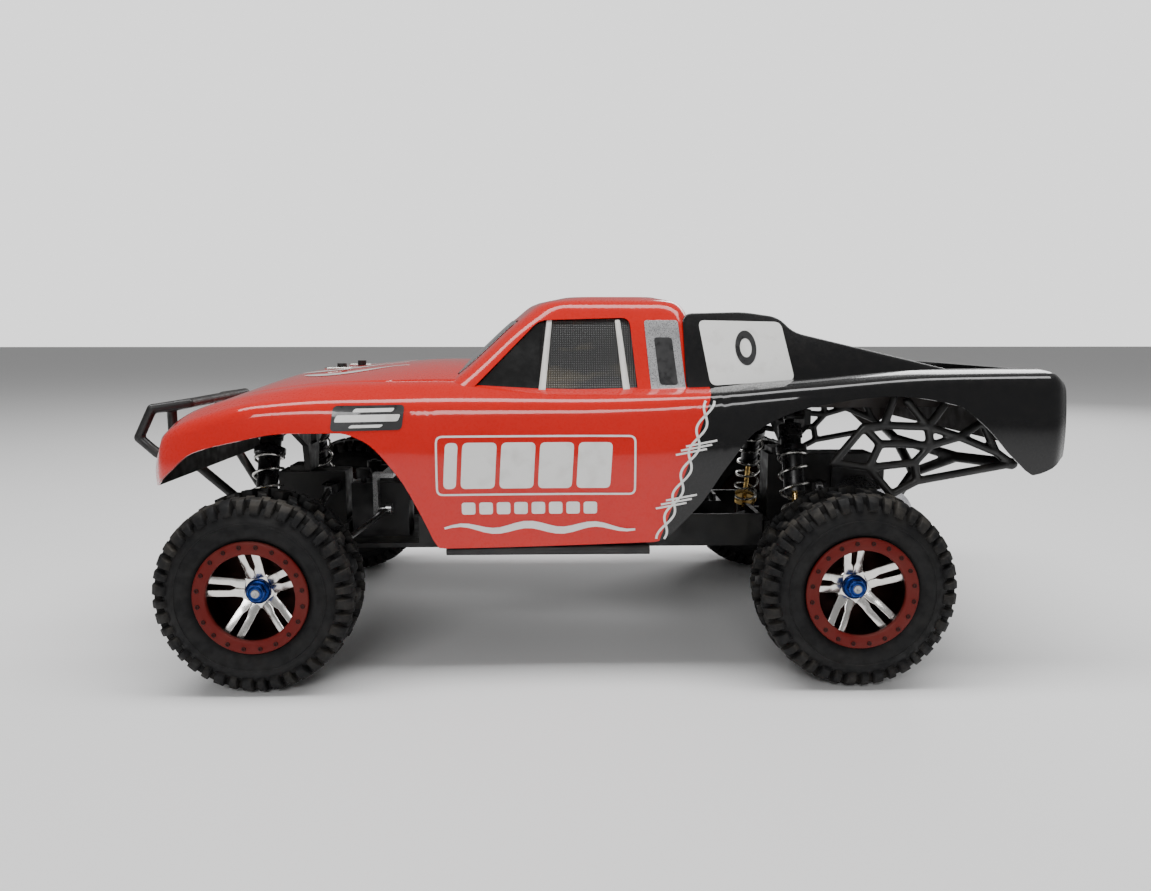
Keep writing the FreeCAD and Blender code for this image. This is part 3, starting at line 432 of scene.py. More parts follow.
def tube(path, radius, sides=10, closed=False):
    """Points and faces of a round tube along a path of 3-D points."""
    path = [Vector(p) for p in path]
    count = len(path)
    points, faces = [], []
    normal = None
    for i, point in enumerate(path):
        ahead = path[(i + 1) % count] if closed or i < count - 1 else path[i]
        behind = path[i - 1] if closed or i > 0 else path[i]
        along = (ahead - behind).normalized()
        if normal is None:
            normal = along.orthogonal().normalized()
        normal = (normal - along * normal.dot(along)).normalized()
        across = along.cross(normal)
        for s in range(sides):
            angle = TURN * s / sides
            points.append(point + radius * (math.cos(angle) * normal + math.sin(angle) * across))
    for i in range(count if closed else count - 1):
        here, there = i * sides, (i + 1) % count * sides
        for s in range(sides):
            t = (s + 1) % sides
            faces.append((here + s, here + t, there + t, there + s))
    if not closed:
        faces.append(tuple(range(sides))[::-1])
        faces.append(tuple(range((count - 1) * sides, count * sides)))
    return points, faces


def joined(*meshes):
    """One list of points and faces from several."""
    points, faces = [], []
    for more_points, more_faces in meshes:
        start = len(points)
        points.extend(more_points)
        faces.extend(tuple(start + i for i in face) for face in more_faces)
    return points, faces


def between_rings(count):
    """The faces that join one ring of count points to the next."""
    return [(i, (i + 1) % count, count + (i + 1) % count, count + i) for i in range(count)]


def slab(outline, place, depth):
    """A flat outline with thickness: place(u, v, w) says where each point is, w from 0 to depth."""
    count = len(outline)
    points = [place(u, v, 0) for u, v in outline] + [place(u, v, depth) for u, v in outline]
    faces = [tuple(range(count)), tuple(range(count, 2 * count))[::-1]]
    faces += between_rings(count)
    return points, faces


def eased(start, corner, end, t):
    """A place on the quadratic curve that rounds a corner, t from 0 at start to 1 at end."""
    return (1 - t) ** 2 * start + 2 * t * (1 - t) * corner + t * t * end


def rounded_corners(corners, radius, steps=5):
    """A closed outline whose corners are eased by quadratic curves."""
    corners = [Vector(c) for c in corners]
    count = len(corners)
    outline = []
    for i, corner in enumerate(corners):
        before, after = corners[i - 1] - corner, corners[(i + 1) % count] - corner
        start = corner + before.normalized() * min(radius, before.length * 0.45)
        end = corner + after.normalized() * min(radius, after.length * 0.45)
        outline += [eased(start, corner, end, s / steps) for s in range(steps + 1)]
    return outline


# ---------------------------------------------------------------- body shell

# Stations of the lower body: x, half width at the rocker, at the crease and at the shoulder,
# height of the crease and shoulder, half width and height of the top's edge, height at the middle.
STATIONS = [
    (-275.5, 116, 127, 123, 142, 168, 112, 171, 171),
    (-266.5, 124, 133, 129, 140, 172, 118, 175, 175),
    (-205, 124, 133, 130, 138, 171, 118, 174.5, 174.5),
    (-130, 122, 131, 127, 134, 165, 115, 169, 169.5),
    (-75, 116, 124, 119, 128, 160, 104, 165, 169),
    (0, 114, 120, 115, 126, 157, 98, 165.5, 176),
    (80, 116, 123, 118, 128, 157, 100, 167.5, 178),
    (130, 122, 132, 126, 132, 158, 106, 167, 174.5),
    (172, 124, 133, 128, 132, 156, 108, 162.5, 170),
    (205, 120, 130, 125, 125, 148, 104, 155, 158),
    (227, 110, 122, 117, 120, 139, 98, 145, 147),
    (234.5, 100, 112, 106, 120, 129, 88, 133, 135),
]
SHELL_FOOT = 66
SHELL_WALL = 1.3
LOWER_EDGE = [
    (-275.5, 127), (-263, 119), (-256.5, 117), (-247, 124), (-225.5, 146), (-211.5, 156),
    (-176.5, 161), (-131.5, 155), (-102.5, 142), (-87.5, 123), (-70.5, 97), (-47, 77), (74.5, 74),
    (84, 92), (95.5, 115), (114.5, 137), (127.5, 141.5), (154.5, 141.5), (187.5, 136),
    (208.5, 130), (221.5, 120), (234.5, 110),
]
BED_REAR, BED_FRONT, BED_HALF, BED_FLOOR = -256, -84, 94, 153
BED_CORNER = 1.2
# The cab's rings: height, front, rear and half width.
CAB_RINGS = [(158, 96, -80, 109), (160, 90, -78, 106), (206, 34, -70, 83), (213.5, 24, -65, 77),
             (217.5, 8, -52, 60)]
CAB_BOW = 10
# The paint's split: x at a height of zero, and how far it moves per millimetre of height.
SPLIT_X, SPLIT_LEAN = -23.7, -0.3375
WINDOW = [(61, 159.5), (18.5, 203), (-34.5, 204.5), (-38.5, 159.5)]


def monotone(knots, x):
    """Smooth interpolation of (x, value) knots that never overshoots them."""
    if x <= knots[0][0]:
        return knots[0][1]
    if x >= knots[-1][0]:
        return knots[-1][1]
    slopes = [(b[1] - a[1]) / (b[0] - a[0]) for a, b in zip(knots, knots[1:])]
    i = next(k for k in range(len(slopes)) if x <= knots[k + 1][0])

    def tangent(k):
        if k == 0 or k == len(slopes):
            return slopes[min(k, len(slopes) - 1)]
        before, after = slopes[k - 1], slopes[k]
        return 0 if before * after <= 0 else 2 * before * after / (before + after)

    (x0, y0), (x1, y1) = knots[i], knots[i + 1]
    width = x1 - x0
    t = (x - x0) / width
    return ((1 + 2 * t) * (1 - t) ** 2 * y0 + t * (1 - t) ** 2 * width * tangent(i)
            + t * t * (3 - 2 * t) * y1 + t * t * (t - 1) * width * tangent(i + 1))


def station(x):
    """The lower body's section sizes at any x."""
    return [monotone([(s[0], s[k]) for s in STATIONS], x) for k in range(1, len(STATIONS[0]))]


def side_profile(x):
    """The side's (half width, height) from the rocker up to the top's edge, with eased creases."""
    foot, crease, shoulder, crease_z, shoulder_z, edge, edge_z, _ = station(x)
    corners = [Vector(c) for c in ((foot, SHELL_FOOT), (crease, crease_z), (shoulder, shoulder_z),
                                   (edge, edge_z), (edge - 8, edge_z + 0.6))]
    line = [corners[0]]
    fit = min(1, (corners[2] - corners[1]).length / 23)
    for before, corner, after, ease in zip(corners, corners[1:], corners[2:], (16, 6, 6)):
        start = corner + (before - corner).normalized() * ease * fit
        end = corner + (after - corner).normalized() * ease * fit
        line += [eased(start, corner, end, s / 8) for s in range(9)]
    return line


def trimmed(line, low):
    """The part of a rising (half width, height) line above a height."""
    for i, (a, b) in enumerate(zip(line, line[1:])):
        if b.y > low:
            t = max(0.0, (low - a.y) / (b.y - a.y))
            return [a.lerp(b, t)] + line[i + 1:]
    return line[-1:]


def resampled(line, count):
    """The same line as count points at even distances."""
    lengths = [0]
    for a, b in zip(line, line[1:]):
        lengths.append(lengths[-1] + (b - a).length)
    points, k = [], 0
    for i in range(count):
        goal = lengths[-1] * i / (count - 1)
        while k < len(line) - 2 and lengths[k + 1] < goal:
            k += 1
        span = lengths[k + 1] - lengths[k]
        points.append(line[k].lerp(line[k + 1], (goal - lengths[k]) / span if span else 0))
    return points


def side_y(x, z):
    """Half width of the lower body's outside at a place on its side."""
    line = side_profile(x)
    for a, b in zip(line, line[1:]):
        if b.y >= z:
            return a.x + (b.x - a.x) * (z - a.y) / max(b.y - a.y, 1e-6)
    return line[-1].x


def deck_z(x, y):
    """Height of the top deck or the bed floor at a place."""
    *_, edge, edge_z, middle_z = station(x)
    if BED_REAR < x < BED_FRONT and abs(y) < BED_HALF:
        return BED_FLOOR
    return middle_z + (edge_z - middle_z) * min(1, abs(y) / edge) ** 2


def shell_columns():
    """The x of every section: even steps, with pairs at the ends of the bed."""
    xs = [STATIONS[0][0] + 3.0 * i for i in range(169)]
    xs = [x for x in xs if x < STATIONS[-1][0] and min(abs(x - BED_REAR), abs(x - BED_FRONT)) > 2.5]
    for end in (BED_REAR, BED_FRONT):
        xs += [end - BED_CORNER / 2, end + BED_CORNER / 2]
    return sorted(xs + [STATIONS[-1][0]])


def half_section(x, side_rows, deck_rows):
    """One section from the lower edge up the side and in to the middle."""
    side = resampled(trimmed(side_profile(x), monotone(LOWER_EDGE, x)), side_rows)
    inner = side[-1].x
    rail = BED_HALF + BED_CORNER
    narrower = min(1, (inner - 1.5) / rail)
    ys = [inner + (rail * narrower - inner) * k / 3 for k in (1, 2, 3)]
    ys += [narrower * (BED_HALF - 0.2) * (1 - k / deck_rows) for k in range(deck_rows + 1)]
    return [(p.x, p.y) for p in side] + [(y, deck_z(x, y)) for y in ys]


def lower_body_grid():
    """Points and faces of the lower body, open underneath and inside the cab."""
    side_rows, deck_rows = 30, 14
    columns = shell_columns()
    points, faces = [], []
    for x in columns:
        half = half_section(x, side_rows, deck_rows)
        full = [(y, z) for y, z in half] + [(-y, z) for y, z in reversed(half[:-1])]
        points += [Vector((x, y, z)) for y, z in full]
    across = len(points) // len(columns)
    cab_rear, cab_front, cab_half = CAB_RINGS[1][2] + 6, CAB_RINGS[1][1] - 32, CAB_RINGS[1][3] - 8
    for i in range(len(columns) - 1):
        for k in range(across - 1):
            face = (i * across + k, i * across + k + 1, (i + 1) * across + k + 1, (i + 1) * across + k)
            middle = sum((points[n] for n in face), Vector()) / 4
            under_cab = cab_rear < middle.x < cab_front and abs(middle.y) < cab_half
            if not under_cab or middle.z < 150:
                faces.append(face)
    for i, out in ((0, 1), (len(columns) - 1, -1)):
        ring = list(range(i * across, (i + 1) * across))
        faces.append(tuple(ring[::out]))
    return points, faces


def cab_ring(z):
    """The cab's front, rear and half width at a height."""
    return [monotone([(r[0], r[k]) for r in CAB_RINGS], z) for k in (1, 2, 3)]


def cab_outline(front, rear, half, bow=CAB_BOW, ease=13):
    """Half of a ring, from the middle of the windscreen round to the middle of the back."""
    corner_x = front - bow
    line = [Vector((front - bow * (k / 12 * (half - ease) / half) ** 2, (half - ease) * k / 12))
            for k in range(13)]
    corner = Vector((corner_x, half))
    start, end = line[-1], Vector((corner_x - ease, half))
    line += [eased(start, corner, end, k / 6) for k in range(1, 7)]
    back = Vector((rear, half))
    start, end = Vector((rear + ease, half)), Vector((rear, half - ease))
    line += [line[-1].lerp(start, k / 24) for k in range(1, 25)]
    line += [eased(start, back, end, k / 6) for k in range(1, 7)]
    line += [end.lerp(Vector((rear, 0)), k / 8) for k in range(1, 9)]
    return line


def cab_grid():
    """Points and faces of the cab, from the belt to the closed roof."""
    heights = [158, 158.7, 160, 163] + [163 + (206 - 163) * k / 14 for k in range(1, 15)]
    heights += [206 + 11.5 * (1 - (1 - k / 9) ** 1.6) for k in range(1, 10)]
    rings = [(z, *cab_ring(z)) for z in heights]
    top, front, rear, half = rings[-1]
    middle = (front + rear) / 2
    for share in (0.8, 0.55, 0.3, 0.08):
        rings.append((top + 1.2 * (1 - share ** 2), middle + (front - middle) * share,
                      middle + (rear - middle) * share, half * share))
    points = []
    for z, front, rear, half in rings:
        scale = min(1, half / 60)
        line = cab_outline(front, rear, half, CAB_BOW * scale, 13 * scale)
        ring = line + [Vector((p.x, -p.y)) for p in reversed(line[1:-1])]
        points += [Vector((p.x, p.y, z)) for p in ring]
    around = len(points) // len(rings)
    faces = [(r * around + k, r * around + (k + 1) % around, (r + 1) * around + (k + 1) % around,
              (r + 1) * around + k) for r in range(len(rings) - 1) for k in range(around)]
    faces.append(tuple(range((len(rings) - 1) * around, len(rings) * around)))
    return points, faces


def cab_side_y(z):
    return cab_ring(z)[2]


def cutter(name, outline, place, depth):
    """A hidden solid used once to cut an opening."""
    points, faces = slab(outline, place, depth)
    return mesh_piece(name, points, faces, plain_cutter, None)


def cut_away(piece, tool):
    """Cuts the tool's shape out of the piece and deletes the tool."""
    modifier = piece.modifiers.new("cut", "BOOLEAN")
    modifier.operation = "DIFFERENCE"
    modifier.solver = "EXACT"
    modifier.object = tool
    apply_modifiers(piece)
    bpy.data.objects.remove(tool)


def thicken(piece, wall, inside):
    """Gives a skin its wall, inwards, with its own material on the inside."""
    piece.data.materials.append(inside)
    walled(piece, wall, offset=-1, inner_material=1)


def outward(piece):
    """Turns an open skin's faces so that they look away from its inside."""
    skin = bmesh.new()
    skin.from_mesh(piece.data)
    bmesh.ops.recalc_face_normals(skin, faces=skin.faces)
    top = max(skin.faces, key=lambda f: f.calc_center_median().z)
    if top.normal.z < 0:
        bmesh.ops.reverse_faces(skin, faces=skin.faces)
    skin.to_mesh(piece.data)
    skin.free()


def split_by_paint(piece, keep_front):
    """Keeps the part of the shell in front of, or behind, the paint's split."""
    skin = bmesh.new()
    skin.from_mesh(piece.data)
    bmesh.ops.bisect_plane(skin, geom=skin.verts[:] + skin.edges[:] + skin.faces[:],
                           plane_co=(SPLIT_X * MM, 0, 0), plane_no=(1, 0, -SPLIT_LEAN),
                           clear_inner=keep_front, clear_outer=not keep_front)
    skin.to_mesh(piece.data)
    skin.free()


def copy_of(piece, name):
    other = piece.copy()
    other.data = piece.data.copy()
    other.name = name
    bpy.context.scene.collection.objects.link(other)
    return other


def post_places():
    """The body posts, as x, side and height of the top, from the shock towers."""
    for node in ("front_shock_tower", "rear_shock_tower"):
        low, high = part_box(node)
        front = node.startswith("front")
        x = (low.x if front else high.x) / MM + (3 if front else -3)
        for side in SIDES.values():
            yield x, side * 30, high.z / MM


def build_shell():
    """The painted shell: lower body, cab with its window openings, and sail panels."""
    red = polycarbonate("shell_red", (0.62, 0.010, 0.006))
    black = polycarbonate("shell_black", (0.0035, 0.0035, 0.004))
    inside = moulded_plastic("shell_inside", (0.012, 0.007, 0.006), 0.6, dust=0.15)
    body = mesh_piece("lower_body", *lower_body_grid(), red, None)
    outward(body)
    thicken(body, SHELL_WALL, inside)
    for x, y, top in post_places():
        angles = [k * math.pi / 12 for k in range(24)]
        ring = [(x + 4 * math.cos(a), y + 4 * math.sin(a)) for a in angles]
        cut_away(body, cutter("post_hole", ring, lambda u, v, w, z=top: Vector((u, v, z - 40 + w)), 50))
    cab = mesh_piece("cab", *cab_grid(), red, None)
    outward(cab)
    thicken(cab, SHELL_WALL, inside)
    window = rounded_corners(WINDOW, 5)
    for side in SIDES.values():
        tool = cutter("window_cutter", window, lambda u, v, w, s=side: Vector((u, s * (60 + w), v)), 70)
        cut_away(cab, tool)
    tail = copy_of(body, "shell_rear_black")
    split_by_paint(body, keep_front=True)
    split_by_paint(tail, keep_front=False)
    body.name = "shell_front_red"
    tail.data.materials[0] = black
    cab.name = "shell_cab_red"
    for piece, slot in ((body, "shell_red"), (cab, "shell_red"), (tail, "shell_black")):
        shade(piece.data, 38)
        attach(piece, "chassis")
    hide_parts("body_shell")
    build_sails(black)


SAIL = [(-66, 207), (-102, 208), (-123, 205), (-131, 196), (-222, 174), (-222, 168), (-66, 162)]
SAIL_TOP_Y, SAIL_BASE_Z, SAIL_LEAN = 105.2, 162, 0.5


def sail_point(side, x, z, out=0.0):
    """A place on a sail panel's outer face, or a little out from it."""
    return Vector((x, side * (SAIL_TOP_Y - (z - SAIL_BASE_Z) * SAIL_LEAN + out), z))


def build_sails(black):
    """The thin panels from the cab's rear corners down to the bed rails."""
    for name, side in SIDES.items():
        outline = rounded_corners(SAIL, 6)
        points, faces = slab(outline, lambda u, v, w, s=side: sail_point(s, u, v, -w), 2)
        panel = mesh_piece(f"sail_panel_{name}", points, faces, black, "chassis", "shell_black")
        bevelled(panel, 0.6)


# ---------------------------------------------------------------- windows and decals

def build_windows():
    """Dark side windows with a net and two straps each, and a dark windscreen."""
    net = net_material()
    strap_white = new_material("strap_white", (0.75, 0.74, 0.71), roughness=0.55)
    bump(strap_white, noise(strap_white, 0.5, detail=2), 0.05, 0.6)
    glass = new_material("windscreen_glass", (0.02, 0.02, 0.022), roughness=0.08, coat=1.0)
    vary_roughness(glass, noise(glass, 6, detail=4), 0.05, 0.2)
    dark_film = new_material("window_film", (0.004, 0.004, 0.004), roughness=0.2, coat=0.1)
    vary_roughness(dark_film, noise(dark_film, 5, detail=4), 0.2, 0.27)
    for name, side in SIDES.items():
        pane = rounded_corners([(64, 160), (19, 206), (-38, 207), (-42, 160)], 5)
        cab_sheet(f"side_window_{name}", [pane], side, 2.3, 0.6, net, "window_dark")
        corner = rounded_corners([(62.5, 160.3), (19.5, 205), (14.6, 205), (19.2, 160.3)], 1)
        cab_sheet(f"window_corner_{name}", [corner], side, 1.8, 0.3, dark_film, "window_dark")
        straps = [rounded_corners([(low_x + 2, 161), (high_x + 1.5, 203), (high_x - 1.5, 203),
                                   (low_x - 2, 161)], 0.8) for low_x, high_x in ((17, 12.5), (-32, -27.5))]
        cab_sheet(f"window_straps_{name}", straps, side, 1.3, 0.9, strap_white, "decal_white")
    build_windscreen(glass)


def cab_sheet(name, outlines, side, depth, wall, material, slot):
    """Thin pieces that follow the cab's side, at a depth under its outer face."""
    def place(x, z, lift):
        return Vector((x, side * (cab_side_y(z) - depth + lift), z))
    sheets = [conform(outline, place, 4.0, 0.0) for outline in outlines]
    piece = mesh_piece(name, *joined(*sheets), material, "chassis", slot)
    walled(piece, wall)


def build_windscreen(glass):
    """Two dark panes on the cab: the raked windscreen, and the small window in the cab's back."""
    for name, low, high, share, back in (("windscreen", 169, 203, 0.80, False),
                                         ("rear_window", 176, 203, 0.62, True)):
        rows, columns = 10, 24
        points = []
        for r in range(rows + 1):
            z = low + (high - low) * r / rows
            front, rear, half = cab_ring(z)
            for c in range(columns + 1):
                y = (2 * c / columns - 1) * half * share
                x = rear - 0.35 if back else front - CAB_BOW * (y / half) ** 2 + 0.35
                points.append(Vector((x, y, z)))
        across = columns + 1
        faces = [(r * across + c, r * across + c + 1, (r + 1) * across + c + 1, (r + 1) * across + c)
                 for r in range(rows) for c in range(columns)]
        pane = mesh_piece(name, points, faces, glass, "chassis", "window_dark")
        walled(pane, 0.5)


def conform(outline, place, step=3.0, lift=0.3):
    """A thin sheet inside an outline, laid on a surface given by place(u, v, lift)."""
    flat = bmesh.new()
    corners = [flat.verts.new((u, v, 0)) for u, v in outline]
    flat.faces.new(corners)
    us, vs = [p[0] for p in outline], [p[1] for p in outline]
    for axis, values in ((0, us), (1, vs)):
        cut = min(values) + step
        while cut < max(values):
            where, normal = [0, 0, 0], [0, 0, 0]
            where[axis], normal[axis] = cut, 1
            bmesh.ops.bisect_plane(flat, geom=flat.verts[:] + flat.edges[:] + flat.faces[:],
                                   plane_co=where, plane_no=normal)
            cut += step
    flat.verts.index_update()
    points = [place(v.co.x, v.co.y, lift) for v in flat.verts]
    faces = [tuple(v.index for v in f.verts) for f in flat.faces]
    flat.free()
    return points, faces


def on_side(side):
    """Places (x, z) on the lower body's side."""
    return lambda x, z, lift: Vector((x, side * (side_y(x, z) + lift), z))


def on_sail(side):
    return lambda x, z, lift: sail_point(side, x, z, lift)


def on_cab_side(side):
    return lambda x, z, lift: Vector((x, side * (cab_side_y(z) + lift), z))


def on_deck(x, y, lift):
    return Vector((x, y, deck_z(x, y) + lift))


def box_outline(x0, x1, z0, z1, radius, lean=0.0):
    """A rounded rectangle whose top is moved by lean."""
    return rounded_corners([(x0, z0), (x1, z0), (x1 + lean, z1), (x0 + lean, z1)], radius)


def divided(outline, pieces=12):
    """The same closed outline with its long sides cut in even pieces."""
    line = []
    for a, b in zip(outline, outline[1:] + outline[:1]):
        count = pieces if (b - a).length > 8 else 1
        line += [a.lerp(b, k / count) for k in range(count)]
    return line


def frame_outline(x0, x1, z0, z1, radius, width, place, lift):
    """A thin rounded frame as a closed band."""
    outer = divided(box_outline(x0, x1, z0, z1, radius))
    inner = divided(box_outline(x0 + width, x1 - width, z0 + width, z1 - width, radius - width))
    count = len(outer)
    points = [place(u, v, lift) for u, v in outer + inner]
    faces = between_rings(count)
    return points, faces


def band(line, width, place, lift=0.3):
    """A stripe of even width along a line of (u, v) points."""
    line = [Vector(p) for p in line]
    points = []
    for i, p in enumerate(line):
        along = (line[min(i + 1, len(line) - 1)] - line[max(i - 1, 0)]).normalized()
        half = (width(i / (len(line) - 1)) if callable(width) else width) / 2
        off = Vector((-along.y, along.x)) * half
        points += [place(*(p + off), lift), place(*(p - off), lift)]
    faces = [(2 * i, 2 * i + 1, 2 * i + 3, 2 * i + 2) for i in range(len(line) - 1)]
    return points, faces


def ring_sheet(centre, outer, inner, place, lift=0.3, squeeze=1.0):
    """A flat ring laid on a surface."""
    steps = 40
    points = []
    for radius in (outer, inner):
        for k in range(steps):
            a = TURN * k / steps
            points.append(place(centre[0] + squeeze * radius * math.cos(a),
                                centre[1] + radius * math.sin(a), lift))
    faces = between_rings(steps)
    return points, faces


def decal(name, sheets, material):
    """Thin printed film in one piece, with a little thickness of its own."""
    piece = mesh_piece(name, *joined(*sheets), material, None)
    walled(piece, 0.12)
    shade(piece.data, 60)
    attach(piece, "chassis")
    return piece


def door_emblem(place):
    """A framed row of plain leaning blocks, and a row of dashes and a long stroke under it."""
    sheets = [frame_outline(-36, 76, 105, 139, 4, 1.1, place, 0.3)]
    x = 72
    for width in (7, 19, 19, 19, 19):
        sheets.append(conform(box_outline(x - width, x, 109, 135, 3, lean=-1.5), place))
        x -= width + 2.6
    for k in range(8):
        left = 62 - 9.8 * k
        sheets.append(conform(box_outline(left - 7.6, left, 94, 101, 1.6), place))
    stroke = [(72 - 108 * k / 24, 86 + 1.8 * math.sin(k * 0.75)) for k in range(25)]
    sheets.append(band(stroke, lambda t: 1.2 + 3.2 * math.sin(math.pi * t), place))
    return sheets


def fender_mark(place):
    """A small leaning badge of plain bars."""
    bars = ((99, 120, 152.6, 154.6), (96, 129.5, 147.4, 151.2), (105, 122, 144.2, 145.8))
    return [conform(box_outline(*bar, 1.2, lean=-1.5), place, lift=0.45) for bar in bars]


def split_point(z, offset):
    """A place on the paint's split at a height, moved forward by offset."""
    return (SPLIT_X + SPLIT_LEAN * z + offset, z)


def split_rope(place):
    """Two thin strands twisted round each other along the paint's split, with short ticks."""
    sheets = []
    low, high, turn = 79, 158, 25
    heights = [low + (high - low) * k / 90 for k in range(91)]
    for phase in (0, math.pi):
        line = [split_point(z, 2.6 * math.sin(TURN * z / turn + phase)) for z in heights]
        sheets.append(band(line, 1.3, place))
    for z in (97, 128):
        for k in range(3):
            start = split_point(z + 2.4 * k, 9 - 2 * k)
            end = split_point(z + 2.4 * k + 3.5, -7 - 2 * k)
            sheets.append(band([start, end], 1.1, place, lift=0.4))
    return sheets


def hood_flames(side):
    """Two tapering waves along one half of the hood."""
    sheets = []
    for start, reach, y, sway in ((172, 66, 30, 11), (164, 62, 56, 12)):
        line = [(start - reach * t, side * (y + sway * math.sin(5 * t))) for t in (k / 30 for k in range(31))]
        sheets.append(band(line, lambda t: 2 + 7 * math.sin(math.pi * min(1, t * 1.25) ** 0.8), on_deck))
    return sheets


def build_decals():
    """Generic printed marks in place of the lettering, on both sides."""
    white = new_material("decal_white", (0.82, 0.82, 0.80), roughness=0.35, coat=0.7)
    paint_over(white, (0.55, 0.53, 0.5), ramp(white, noise(white, 9, detail=6), 0.52, 0.8, 0.0, 0.5))
    ink = new_material("decal_ink", (0.012, 0.012, 0.013), roughness=0.35, coat=0.7)
    vary_roughness(ink, noise(ink, 4), 0.25, 0.5)
    silver = metal("decal_silver", (0.55, 0.55, 0.56), 0.3)
    for name, side in SIDES.items():
        flank, sail, pillar = on_side(side), on_sail(side), on_cab_side(side)
        decal(f"door_emblem_{name}", door_emblem(flank), white)
        badge = box_outline(94, 131.5, 142.6, 156.2, 2.5, lean=-1.5)
        decal(f"fender_badge_{name}", [conform(badge, flank)], ink)
        decal(f"fender_bars_{name}", fender_mark(flank), white)
        decal(f"split_rope_{name}", split_rope(flank), white)
        plate = rounded_corners([(-80, 165.5), (-129, 168.5), (-124, 202), (-75, 203)], 4)
        decal(f"number_plate_{name}", [conform(plate, sail)], white)
        decal(f"plate_ring_{name}", [ring_sheet((-102, 187), 10, 5.5, sail, lift=0.55, squeeze=0.62)], ink)
        pillar_box = [(-46, 161), (-66, 161), (-63, 203), (-43, 203)]
        decal(f"pillar_sticker_{name}", [conform(rounded_corners(pillar_box, 2), pillar)], silver)
        panel = [(-51, 166), (-61.5, 166), (-59, 193), (-48.5, 193)]
        decal(f"pillar_panel_{name}", [conform(rounded_corners(panel, 2), pillar, lift=0.55)], ink)
    decal("hood_waves", hood_flames(LEFT) + hood_flames(RIGHT), white)


# ---------------------------------------------------------------- wheels

TYRE_PROFILE = [(18.3, 31), (20.6, 34), (21.4, 38), (21.0, 42), (19.2, 45.6), (16.2, 48.2),
                (11, 49.8), (4, 50.6)]
TYRE_RADIUS, RIB_RADIUS, BLOCKS_ROUND = 55, 0.45, 20


def wheel_centre(end, side_name):
    """The middle of a wheel, from its tyre's box."""
    low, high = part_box(f"tyre_{end}_{side_name}")
    return (low + high) / 2 / MM


def turned(profile, out, centre, segments=96):
    """A profile of (distance out from the wheel's middle, radius), turned about the axle."""
    return revolve([(out * y, r) for y, r in profile], centre, segments)


def tyre_carcass(centre):
    """The tyre's smooth body, hollow, open to the rim."""
    outer = TYRE_PROFILE + [(-y, r) for y, r in reversed(TYRE_PROFILE)]
    outer = smooth_line(outer, 4)
    inner = [Vector((p.x * 0.86, 31 + (p.y - 31) * 0.86)) for p in reversed(outer)]
    return revolve([(p.x, p.y) for p in outer + inner], centre, segments=120)


def lug(centre, angle, corners, base, top, spread):
    """One tread block: corners are (y, distance along the tread); the top is smaller than the base."""
    points = []
    for radius, share in ((base, 1 + spread), (top, 1.0)):
        middle_y = sum(y for y, _ in corners) / len(corners)
        middle_s = sum(s for _, s in corners) / len(corners)
        for y, s in corners:
            y, s = middle_y + (y - middle_y) * share, middle_s + (s - middle_s) * share
            r = radius(y) if callable(radius) else radius
            points.append(round_axle(centre, y, r, angle + s / TYRE_RADIUS))
    count = len(corners)
    faces = [tuple(range(count)), tuple(range(count, 2 * count))]
    faces += between_rings(count)
    return points, faces


def tread_top(y):
    """Radius of the tread blocks' tops across the tyre."""
    return TYRE_RADIUS - 0.75 * max(0, abs(y) - 7) ** 1.15 / 4


def tread_base(y):
    across = sorted((y, r) for y, r in TYRE_PROFILE[3:] + [(0, 50.6)])
    return monotone(across, abs(y)) - 1.2


def tread(centre):
    """Rows of blocks: a zigzag middle, staggered sides, and shoulder blocks over the edge."""
    blocks = []
    pitch = TURN / BLOCKS_ROUND
    for i in range(BLOCKS_ROUND):
        for side in SIDES.values():
            angle = pitch * (i + 0.25 * side)
            mid = [(side * 1.2, -4.2), (side * 8.6, -1.4), (side * 8.6, 3.2), (side * 1.2, 0.6)]
            blocks.append(lug(centre, angle, mid, tread_base, tread_top, 0.16))
            for k in range(2):
                turn = angle + pitch * (0.27 + 0.5 * k)
                outer = [(side * 10.6, -3.2), (side * 15.4, -2.4), (side * 15.4, 2.6), (side * 10.6, 1.8)]
                blocks.append(lug(centre, turn, outer, tread_base, tread_top, 0.16))
                shoulder = turn + pitch * 0.25
                blocks.append(shoulder_lug(centre, shoulder, side, 3.0 if k else 2.2))
    return joined(*blocks)


def shoulder_lug(centre, angle, side, half):
    """A block that wraps from the tread's edge down on to the sidewall."""
    rows = [(13.4, 54.0), (17.4, 53.2), (19.9, 50.4), (21.1, 46.8)]
    inner = [(12.6, 48.3), (15.2, 47.2), (17.2, 45.6), (18.8, 44.2)]
    points = []
    for (y, r), width in zip(rows + inner, (half, half, half * 0.95, half * 0.8) + (half * 1.25,) * 4):
        for s in (-width, width):
            points.append(round_axle(centre, side * y, r, angle + s / TYRE_RADIUS))
    faces = []
    for k in range(3):
        a, b = 2 * k, 2 * k + 2
        faces.append((a, a + 1, b + 1, b))
        faces.append((a, b, b + 8, a + 8))
        faces.append((a + 1, a + 9, b + 9, b + 1))
        faces.append((a + 8, b + 8, b + 9, a + 9))
    faces.append((0, 8, 9, 1))
    faces.append((6, 7, 15, 14))
    return points, faces


